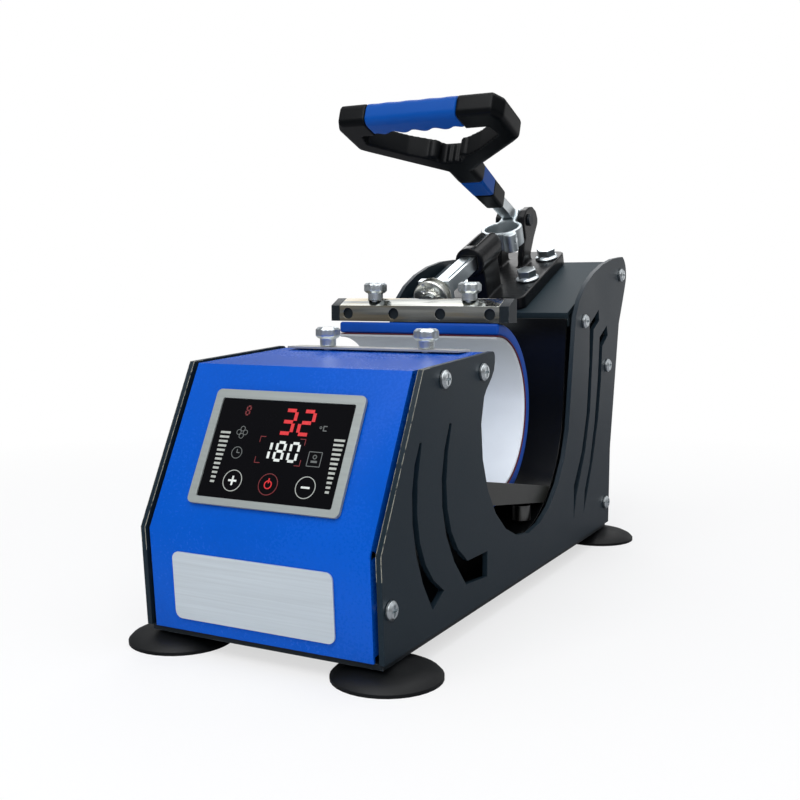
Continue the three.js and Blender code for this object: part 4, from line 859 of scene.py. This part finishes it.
@dataclass
class RoundedCastings:
    """Moulded, cast and rolled pieces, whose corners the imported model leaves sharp."""

    dresser: Dresser
    smoothing: float = 0.5
    kept_share: float = 0.35
    crease: float = 60.0
    knuckles: tuple[Point, ...] = (
        (-12.0, 122.6, 4.6),
        (12.0, 122.6, 4.6),
        (-2.3, 117.4, 1.5),
        (2.3, 117.4, 1.5),
    )
    knuckle_height: float = 12.6
    passage_middle: Point = (0.0, 15.0, 38.4)
    passage_size: Point = (12.0, 70.0, 10.0)

    def build(self) -> None:
        """Makes the casting, the yoke, the handle, the lever bar, the knobs and the bolts."""
        casting = self.rounded(
            Rounding("clamp_base", "clamp_casting", "frame", Finish.BLACK_CASTING, "black_casting")
        )
        self.cut_passage(casting)
        yoke = Rounding("lever_yoke", "yoke_casting", "lever", Finish.CAST_ZINC, "zinc_steel")
        handle = Rounding(
            "handle_body", "handle_moulding", "lever", Finish.BLACK_PLASTIC, "black_plastic"
        )
        bar = Rounding("lever_bar", "lever_flat", "lever", Finish.ZINC, "zinc_steel", 0.5, 2, 1.5)
        self.rounded(yoke)
        self.rounded(handle, [self.knuckle(*knuckle) for knuckle in self.knuckles])
        self.rounded(bar)
        for side in ("right", "left"):
            for level in ("upper", "lower"):
                self.rolled(f"{level}_clamp_knob_{side}", f"{level}_knob_{side}")
            for row in ("front", "rear"):
                self.rolled(f"flange_bolt_{row}_{side}", "frame")
        LOG.info("rounded three castings, the lever bar, four knobs and four bolts")

    def cut_passage(self, casting: Piece) -> None:
        """Cuts the push rod's square passage clean through the rounded casting.

        Args:
            casting: The casting.
        """
        Bench.clear()
        bpy.ops.mesh.primitive_cube_add(size=1.0, location=metres(*self.passage_middle))
        cutter = Bench.named("passage_cutter")
        cutter.scale = metres(*self.passage_size)
        Bench.settle(cutter, DECK)
        Bench.apply(casting, "BOOLEAN", object=cutter, operation="DIFFERENCE", solver="EXACT")
        bpy.data.objects.remove(cutter, do_unlink=True)
        Bench.smooth(casting, self.crease)

    def knuckle(self, x: float, along: float, radius: float) -> Piece:
        """Adds one rounded rib to the inside of the handle's loop.

        Args:
            x: Its middle, to the right.
            along: Its middle, up the lever.
            radius: Its radius.

        Returns:
            The rib.
        """
        Bench.clear()
        bpy.ops.mesh.primitive_cylinder_add(
            vertices=24,
            radius=radius * MM,
            depth=self.knuckle_height * MM,
            location=metres(x, along, 0.0),
        )
        return Bench.settle(bpy.context.object, LEVER)

    def rolled(self, node: str, body: str) -> None:
        """Rounds a small zinc-plated piece that moves with a body."""
        name = f"{node}_rolled"
        self.rounded(Rounding(node, name, body, Finish.ZINC, "zinc_steel", grain=0.32, rounds=3))

    def rounded(self, plan: Rounding, added: Sequence[Piece] = ()) -> Piece:
        """Copies a carried piece and rounds its corners.

        Args:
            plan: What is copied, and how it is rounded.
            added: Forms that are merged into it first.

        Returns:
            The rounded piece.
        """
        piece = bpy.data.objects.new(plan.name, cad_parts[plan.node].data.copy())
        bpy.context.scene.collection.objects.link(piece)
        Bench.outward(piece)
        if added:
            piece = Bench.joined([piece, *added], plan.name)
        piece.scale.x = plan.wider
        Bench.settle(piece)
        Bench.apply(piece, "REMESH", mode="VOXEL", voxel_size=plan.grain * MM)
        Bench.apply(piece, "SMOOTH", factor=self.smoothing, iterations=plan.rounds)
        Bench.apply(piece, "DECIMATE", ratio=self.kept_share)
        Bench.smooth(piece, self.crease)
        self.dresser.dress(piece, plan.finish)
        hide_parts(plan.node)
        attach(piece, plan.body)
        return piece


@dataclass
class GripSleeve:
    """The blue grip of the handle, with finger waves on the inside of the loop."""

    dresser: Dresser
    left: float = -33.7
    right: float = 28.7
    middle: float = 172.0
    half: float = 9.2
    half_thick: float = 7.5
    corner: float = 4.6
    corner_steps: int = 7
    crest_at: float = 2.0
    crest_step: float = 14.5
    swell: float = 1.75
    fade: float = 6.0
    steps: int = 52
    lip: float = 0.7
    crease: float = 40.0

    def build(self) -> None:
        """Draws the sleeve along the grip, ring by ring."""
        stride = (self.right - self.left - 2 * self.lip) / self.steps
        places = [self.left + self.lip + stride * step for step in range(self.steps + 1)]
        rings = [self.ring(x) for x in (self.left, *places, self.right)]
        x, middle, tall, thick = rings[0]
        Bench.rectangle((x, middle, 0.0), (thick, tall), (0.0, math.pi / 2, 0.0))
        piece = Bench.named("grip_sleeve")
        Bench.edit(piece)
        offset = self.corner * MM
        bpy.ops.mesh.bevel(offset=offset, segments=self.corner_steps, affect="VERTICES")
        bpy.ops.mesh.select_mode(type="FACE")
        for last, ring in zip(rings, rings[1:]):
            step = metres(ring[0] - last[0], ring[1] - last[1], 0.0)
            scale = (1.0, ring[2] / last[2], ring[3] / last[3])
            Bench.draw_on(step, scale, metres(ring[0], ring[1], 0.0))
        Bench.leave()
        Bench.outward(piece)
        Bench.smooth(piece, self.crease)
        Bench.settle(piece, LEVER)
        self.dresser.dress(piece, Finish.BLUE_PLASTIC)
        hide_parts("handle_grip")
        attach(piece, "lever")
        LOG.info("drew the grip")

    def ring(self, x: float) -> tuple[float, float, float, float]:
        """Gives one cross-section of the sleeve.

        Args:
            x: Its place, to the right.

        Returns:
            Its place, middle, height and thickness, with the finger wave in them.
        """
        wave = self.swell * math.cos(2 * math.pi * (x - self.crest_at) / self.crest_step)
        ends = min(x - self.left, self.right - x) / self.fade
        swell = wave * max(0.0, min(1.0, ends))
        inset = self.lip if x in (self.left, self.right) else 0.0
        tall = 2 * self.half + swell
        return x, self.middle - swell / 2, tall - 2 * inset, 2 * (self.half_thick - inset)


@dataclass
class PressureNut:
    """The turned disc on the spindle: a dished face, a raised hub and rounded rims.

    Each step of an end is a radius and how far it lies beyond the step before.
    """

    dresser: Dresser
    axis_rise: float = 38.4
    front: float = -69.7
    radius: float = 12.0
    thick: float = 7.5
    rim: float = 0.9
    sides: int = 96
    rim_steps: tuple[tuple[float, float], ...] = ((12.0, 0.0), (12.0, 0.3), (11.3, 0.6))
    hub_steps: tuple[tuple[float, float], ...] = ((8.4, -0.5), (5.6, -0.6), (5.4, 1.6), (4.9, 0.5))

    def build(self) -> None:
        """Turns the disc and puts it on the spindle."""
        Bench.clear()
        bpy.ops.mesh.primitive_cylinder_add(
            vertices=self.sides,
            radius=(self.radius - self.rim) * MM,
            depth=(self.thick - 2 * self.rim) * MM,
            location=metres(0.0, self.front + self.thick / 2, self.axis_rise),
            rotation=(math.pi / 2, 0.0, 0.0),
        )
        piece = Bench.settle(Bench.named("pressure_nut_turned"))
        self.turn_end(piece, 1.0, self.rim_steps)
        self.turn_end(piece, -1.0, (*self.rim_steps, *self.hub_steps))
        Bench.outward(piece)
        Bench.bevel(piece, width=0.35, angle=0.5)
        Bench.smooth(piece, 30.0)
        Bench.settle(piece, DECK)
        self.dresser.dress(piece, Finish.TURNED_STEEL)
        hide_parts("pressure_disc")
        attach(piece, "pressure_nut")
        LOG.info("turned the pressure nut")

    def turn_end(
        self, piece: Piece, outward: float, steps: Sequence[tuple[float, float]]
    ) -> None:
        """Shapes one end with steps of radius and depth.

        Args:
            piece: The disc.
            outward: One for the rear end and minus one for the front end.
            steps: Its steps.
        """
        Bench.activate(piece)
        for face in piece.data.polygons:
            face.select = face.normal.y * outward > 0.9 and len(face.vertices) > 4
        bpy.ops.object.mode_set(mode="EDIT")
        bpy.ops.mesh.select_mode(type="FACE")
        last = self.radius - self.rim
        centre = metres(0.0, 0.0, self.axis_rise)
        for radius, depth in steps:
            wider = radius / last
            Bench.draw_on(metres(0.0, outward * depth, 0.0), (wider, 1.0, wider), centre)
            last = radius
        Bench.leave()


@dataclass
class HeatingWrap:
    """The blue heating mat with its seam and pale lining, bent round the mug well."""

    dresser: Dresser
    centre_y: float = -18.45
    centre_z: float = 113.0
    outer: float = 56.4
    core: float = 48.9
    inner: float = 46.5
    half_width: float = 56.0
    riser_top: float = 139.4
    riser_steps: int = 4
    sweep: float = 270.0
    steps: int = 72
    gap: float = 0.4
    hinge_start: Point = (0.0, 38.9, 56.0)
    hinge_lean: Point = (0.0, 0.6, 0.8)
    hinge_span: float = 56.0

    def build(self) -> None:
        """Makes the three layers."""
        core, half = self.core, self.half_width
        mat = self.layer("wrap_mat", core + self.gap, self.outer, half, 1.6)
        seam = self.layer("wrap_seam", core - 0.3, core + 0.3, half + 0.2, 0.0)
        lining = self.layer("wrap_pad", self.inner, core - self.gap, half - self.gap, 0.7)
        for piece, finish, slot in (
            (mat, Finish.MAT, "blue_silicone"),
            (seam, Finish.SEAM, "blue_silicone"),
            (lining, Finish.LINING, "white_lining"),
        ):
            self.dresser.dress(piece, finish)
            self.bend(piece)
        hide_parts("heating_wrap")
        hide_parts("wrap_lining")
        LOG.info("wrapped the mug well")

    def layer(
        self, name: str, low: float, high: float, half: float, rounding: float
    ) -> Piece:
        """Spins one layer round the well and lifts its front end.

        Args:
            name: The piece's name.
            low: Its inner radius.
            high: Its outer radius.
            half: Half its width.
            rounding: The radius of its corners.

        Returns:
            The layer.
        """
        middle = (0.0, self.centre_y, self.centre_z + (low + high) / 2)
        Bench.rectangle(middle, (2 * half, high - low), (math.pi / 2, 0.0, 0.0))
        piece = Bench.named(name)
        Bench.edit(piece)
        bpy.ops.mesh.spin(
            steps=self.steps,
            angle=math.radians(self.sweep),
            center=metres(0.0, self.centre_y, self.centre_z),
            axis=(1.0, 0.0, 0.0),
        )
        lift = metres(0.0, 0.0, (self.riser_top - self.centre_z) / self.riser_steps)
        for _ in range(self.riser_steps):
            bpy.ops.mesh.extrude_region_move(TRANSFORM_OT_translate={"value": lift})
        Bench.outward(piece)
        if rounding:
            Bench.bevel(piece, width=rounding, angle=0.8)
        Bench.smooth(piece, 40.0)
        return piece

    def bend(self, piece: Piece) -> None:
        """Writes a layer's place into its mesh; the hinge line that it works out is not used."""
        start = Vector(metres(*self.hinge_start))
        end = start + Vector(self.hinge_lean) * self.hinge_span * MM
        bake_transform(piece)


class Glyph(Enum):
    """The segments that are lit for each digit, by their letters in SEGMENTS."""

    ZERO = "abcdef"
    ONE = "bc"
    TWO = "abged"
    THREE = "abgcd"
    EIGHT = "abcdefg"


SEGMENTS = {
    "a": (0.5, 1.0, False),
    "b": (1.0, 0.75, True),
    "c": (1.0, 0.25, True),
    "d": (0.5, 0.0, False),
    "e": (0.0, 0.25, True),
    "f": (0.0, 0.75, True),
    "g": (0.5, 0.5, False),
}


@dataclass
class DisplayMarks:
    """The lit digits, bar graphs and touch symbols behind the glass.

    They are placed by x to the right and s up the sloped face.
    """

    dresser: Dresser
    lift: float = 1.78
    slant: float = 0.10
    thick: float = 0.12
    overlap: float = 0.15
    button: float = 5.8
    graph_foot: float = 28.0
    graph_step: float = 2.45
    graph_line: float = 1.15
    graph_count: int = 12
    corner_long: float = 3.4
    corner_line: float = 0.4
    corner_shift: float = 1.5

    def build(self) -> None:
        """Makes the red, white and grey marks."""
        digits, ring, bars = self.digits, self.ring, self.bars
        plus, power, minus = (-21.0, 29.3), (1.0, 29.1), (23.1, 29.3)
        groups = {
            ("marks_red", Finish.RED_LIT): (
                digits((Glyph.THREE, Glyph.TWO), (-1.0, 55.8), (8.8, 14.4), 1.9, 2.1),
                ring(1.0, 28.9, 2.3, 0.55),
                bars((1.0, 31.0, 0.7, 2.6)),
            ),
            ("marks_white", Finish.WHITE_LIT): (
                digits((Glyph.ONE, Glyph.EIGHT, Glyph.ZERO), (-8.6, 41.4), (6.1, 11.0), 1.4, 2.2),
                bars((*plus, 5.0, 1.0), (*plus, 1.0, 5.0), (*minus, 5.0, 1.0)),
            ),
            ("marks_bar_graphs", Finish.BAR_LIT): (
                self.graph(-33.4, 6.2, 2.6),
                self.graph(35.9, 6.2, 2.2),
                ring(*plus, self.button, 0.38),
                ring(*minus, self.button, 0.38),
            ),
            ("marks_icons", Finish.ICON_LIT): (
                ring(-23.0, 44.4, 3.3, 0.4),
                bars((-22.2, 44.4, 1.9, 0.5), (-23.0, 45.3, 0.5, 1.9)),
                ring(-23.1, 57.6, 1.5, 0.35),
                ring(-23.1, 53.6, 1.5, 0.35),
                ring(-21.1, 55.6, 1.5, 0.35),
                ring(-25.1, 55.6, 1.5, 0.35),
                bars((24.2, 40.4, 7.6, 0.4), (24.2, 48.0, 7.6, 0.4)),
                bars((20.4, 44.2, 0.4, 7.6), (28.0, 44.2, 0.4, 7.6)),
                ring(24.2, 45.4, 1.2, 0.45),
                bars((24.2, 42.9, 3.6, 1.1)),
                ring(23.4, 61.0, 0.7, 0.3),
                bars((26.0, 59.4, 2.2, 0.5), (25.1, 60.6, 0.5, 2.6), (26.0, 61.8, 2.2, 0.5)),
            ),
            ("marks_dim_red", Finish.DIM_RED_LIT): (
                ring(*power, self.button, 0.42),
                digits((Glyph.EIGHT,), (-24.4, 65.0), (3.0, 5.6), 0.8, 1.0),
                self.corners(2.9, 40.0, 13.6, 14.2),
            ),
        }
        for (name, finish), parts in groups.items():
            piece = Bench.joined([part for group in parts for part in group], name)
            Bench.settle(piece)
            Bench.apply(piece, "SOLIDIFY", thickness=self.thick * MM, offset=0.0)
            Bench.settle(piece, FACE)
            self.dresser.dress(piece, finish)
            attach(piece, "frame")
        LOG.info("lit the display")

    def bars(self, *places: tuple[float, float, float, float]) -> list[Piece]:
        """Adds flat bars, each from its middle, width and height."""
        return [Bench.rectangle((x, s, self.lift), (wide, tall)) for x, s, wide, tall in places]

    def ring(self, x: float, s: float, radius: float, line: float) -> list[Piece]:
        """Adds one flat ring.

        Args:
            x: Its middle, to the right.
            s: Its middle, up the face.
            radius: Its radius.
            line: The width of its line.

        Returns:
            The ring, in a list.
        """
        Bench.clear()
        bpy.ops.mesh.primitive_circle_add(
            vertices=40, radius=radius * MM, fill_type="NGON", location=metres(x, s, self.lift)
        )
        made = bpy.context.object
        Bench.edit(made)
        bpy.ops.mesh.inset(thickness=line * MM)
        bpy.ops.mesh.delete(type="FACE")
        return [Bench.settle(made)]

    def segment(self, x: float, s: float, long: float, line: float, up: bool) -> Piece:
        """Adds one pointed digit segment.

        Args:
            x: Its middle, to the right.
            s: Its middle, up the face.
            long: Its length.
            line: Its width.
            up: Whether it stands upright.

        Returns:
            The segment.
        """
        Bench.clear()
        bpy.ops.mesh.primitive_circle_add(
            vertices=6, radius=1.0, fill_type="NGON", location=metres(x, s, self.lift)
        )
        made = bpy.context.object
        for corner in made.data.vertices:
            tip = abs(corner.co.y) < 0.1
            reach = math.copysign((long if tip else long - line) / 2, corner.co.x) * MM
            side = 0.0 if tip else math.copysign(line / 2, corner.co.y) * MM
            corner.co.x, corner.co.y = (-side, reach) if up else (reach, side)
        return Bench.settle(made)

    def digits(
        self,
        glyphs: Sequence[Glyph],
        start: tuple[float, float],
        size: tuple[float, float],
        line: float,
        space: float,
    ) -> list[Piece]:
        """Adds a row of digits, whose segments lie at shares of the inner width and height.

        Args:
            glyphs: The digits.
            start: The left end and the foot of the row.
            size: A digit's width and height.
            line: A segment's width.
            space: The space between digits.

        Returns:
            The segments of every digit.
        """
        made = []
        (x, s), (wide, tall) = start, size
        inner, rise = wide - line, tall - line
        for place, glyph in enumerate(glyphs):
            left = x + place * (wide + space) + line / 2
            for key in glyph.value:
                share_x, share_s, upright = SEGMENTS[key]
                lean = (share_s - 0.5) * rise * self.slant
                long = (rise / 2 if upright else inner) + line * self.overlap
                up = s + line / 2 + rise * share_s
                made.append(self.segment(left + inner * share_x + lean, up, long, line, upright))
        return made

    def graph(self, x: float, widest: float, narrowest: float) -> list[Piece]:
        """Adds a column of bars that narrows downwards.

        Args:
            x: Its middle.
            widest: The width of the top bar.
            narrowest: The width of the lowest bar.

        Returns:
            The bars.
        """
        fall = (widest - narrowest) / (self.graph_count - 1)
        foot, step, line = self.graph_foot, self.graph_step, self.graph_line
        columns = range(self.graph_count)
        return self.bars(*((x, foot + step * i, narrowest + fall * i, line) for i in columns))

    def corners(self, x: float, s: float, half: float, tall: float) -> list[Piece]:
        """Adds four corner marks round the lower digits.

        Args:
            x: The middle of their frame.
            s: Its foot.
            half: Half its width.
            tall: Its height.

        Returns:
            The marks.
        """
        long, line, shift = self.corner_long, self.corner_line, self.corner_shift
        places = []
        for side in (-1, 1):
            for up, inward in ((s, shift), (s + tall, -shift)):
                places.append((x + side * (half - shift), up, long, line))
                places.append((x + side * half, up + inward, line, long))
        return self.bars(*places)


@dataclass(frozen=True)
class Lamp:
    """A soft square lamp: its place, the point it faces, its side, and its power in watts."""

    name: str
    place: Point
    target: Point
    side: float
    power: float

    def build(self) -> None:
        """Adds the lamp."""
        Bench.clear()
        bpy.ops.object.light_add(type="AREA", location=metres(*self.place))
        lamp = bpy.context.object
        lamp.name = self.name
        lamp.data.shape = "SQUARE"
        lamp.data.size = self.side * MM
        lamp.data.energy = self.power
        aim = Vector(self.target) - Vector(self.place)
        lamp.rotation_euler = aim.to_track_quat("-Z", "Y").to_euler()


@dataclass
class Studio:
    """Floor, lamps, pale background and the camera."""

    floor_side: float = 12000.0
    paper: Colour = (0.86, 0.86, 0.86)
    mirrored_paper: Colour = (0.30, 0.30, 0.31)
    daylight: Colour = (0.86, 0.90, 1.0)
    daylight_strength: float = 0.32
    lamps: tuple[Lamp, ...] = (
        Lamp("key_softbox", (-120, -900, 1300), (0, -60, 120), 900, 9.0),
        Lamp("fill_softbox", (560, -1050, 880), (0, 0, 120), 900, 6.0),
        Lamp("top_softbox", (200, 150, 1350), (0, 0, 150), 1400, 7.0),
        Lamp("rear_softbox", (-540, 1170, 1140), (0, 60, 180), 1000, 6.0),
        Lamp("low_softbox", (480, 1150, 230), (60, 60, 150), 700, 0.9),
    )
    camera_place: Point = (302.0, -617.95, 187.4)
    turn: float = 27.58
    pitch: float = 6.84
    sensor: float = 36.0
    focal_pixels: float = 1059.0
    frame_pixels: float = 800.0
    shift_pixels: float = 21.0
    sky: tuple[tuple[float, float], ...] = (
        (0.0, 0.42),
        (0.05, 0.10),
        (0.22, 0.12),
        (0.45, 0.35),
        (0.75, 0.75),
        (1.0, 0.9),
    )

    def build(self) -> None:
        """Sets up the studio."""
        self.floor()
        self.world()
        for lamp in self.lamps:
            lamp.build()
        self.camera()
        LOG.info("set the studio")

    def floor(self) -> None:
        """Makes a pale floor that shows white to the camera and keeps the shadow."""
        Bench.clear()
        side = self.floor_side * MM
        bpy.ops.mesh.primitive_grid_add(x_subdivisions=8, y_subdivisions=8, size=side)
        piece = Bench.named("studio_floor")
        sheet = ShaderSheet("studio_paper")
        paper = sheet.blend(sheet.ray("Glossy"), self.paper, self.mirrored_paper)
        matt = {"Base Color": paper, "Roughness": 0.9}
        surface = sheet.node("BsdfPrincipled", None, matt)
        glow = sheet.node("Emission", None, {"Color": WHITE})
        length = {"operation": "LENGTH"}
        away = sheet.node("VectorMath", length, {0: sheet.place()}, out="Value")
        share = sheet.ray("Camera") * (away.clamped(0.2, 0.8) * 0.35 + 0.65)
        piece.data.materials.append(sheet.close(sheet.mix(share, surface, glow)))

    def world(self) -> None:
        """Makes a dim world that is white to the camera and a graded sky in polished metal."""
        sheet = ShaderSheet("studio_world", world=True)
        bpy.context.scene.world = sheet.owner
        toward = sheet.node("TexCoord", out="Generated")
        height = sheet.node("SeparateXYZ", None, {"Vector": toward}, out="Z")
        stops = [(at, (level * 0.97, level * 0.98, level)) for at, level in self.sky]
        graded = sheet.node("ValToRGB", None, {0: height}, stops=stops)
        dim, mirrored, bright = (
            sheet.node("Background", None, {"Color": colour, "Strength": strength})
            for colour, strength in (
                (self.daylight, self.daylight_strength),
                (graded, 1.0),
                (WHITE, 1.0),
            )
        )
        either = {0: sheet.ray("Camera"), 1: sheet.ray("Transmission")}
        seen = sheet.node("Math", {"operation": "MAXIMUM"}, either)
        unseen = sheet.mix(sheet.ray("Glossy"), dim, mirrored)
        sheet.close(sheet.mix(seen, unseen, bright))

    def camera(self) -> None:
        """Makes the camera at the photograph's viewpoint."""
        turn = math.radians(self.turn)
        pitch = math.radians(self.pitch)
        level = math.cos(pitch)
        look = Vector((-math.sin(turn) * level, math.cos(turn) * level, -math.sin(pitch)))
        data = bpy.data.cameras.new("photo_camera")
        data.sensor_width = self.sensor
        data.lens = self.sensor * self.focal_pixels / self.frame_pixels
        data.shift_y = self.shift_pixels / self.frame_pixels
        data.clip_start = 0.01
        camera = bpy.data.objects.new("photo_camera", data)
        bpy.context.scene.collection.objects.link(camera)
        camera.location = metres(*self.camera_place)
        camera.rotation_euler = look.to_track_quat("-Z", "Y").to_euler()
        bpy.context.scene.camera = camera
        bpy.context.scene.view_settings.view_transform = "Standard"


def main() -> None:
    """Builds the scene piece by piece."""
    logging.basicConfig(level=logging.INFO, format="%(name)s: %(message)s")
    dresser = Dresser()
    Studio().build()
    for assembly in (
        CarriedPieces,
        RoundedCastings,
        GripSleeve,
        PressureNut,
        HeatingWrap,
        DisplayMarks,
    ):
        assembly(dresser).build()
    Bench.clear()


if __name__ == "__main__":
    main()
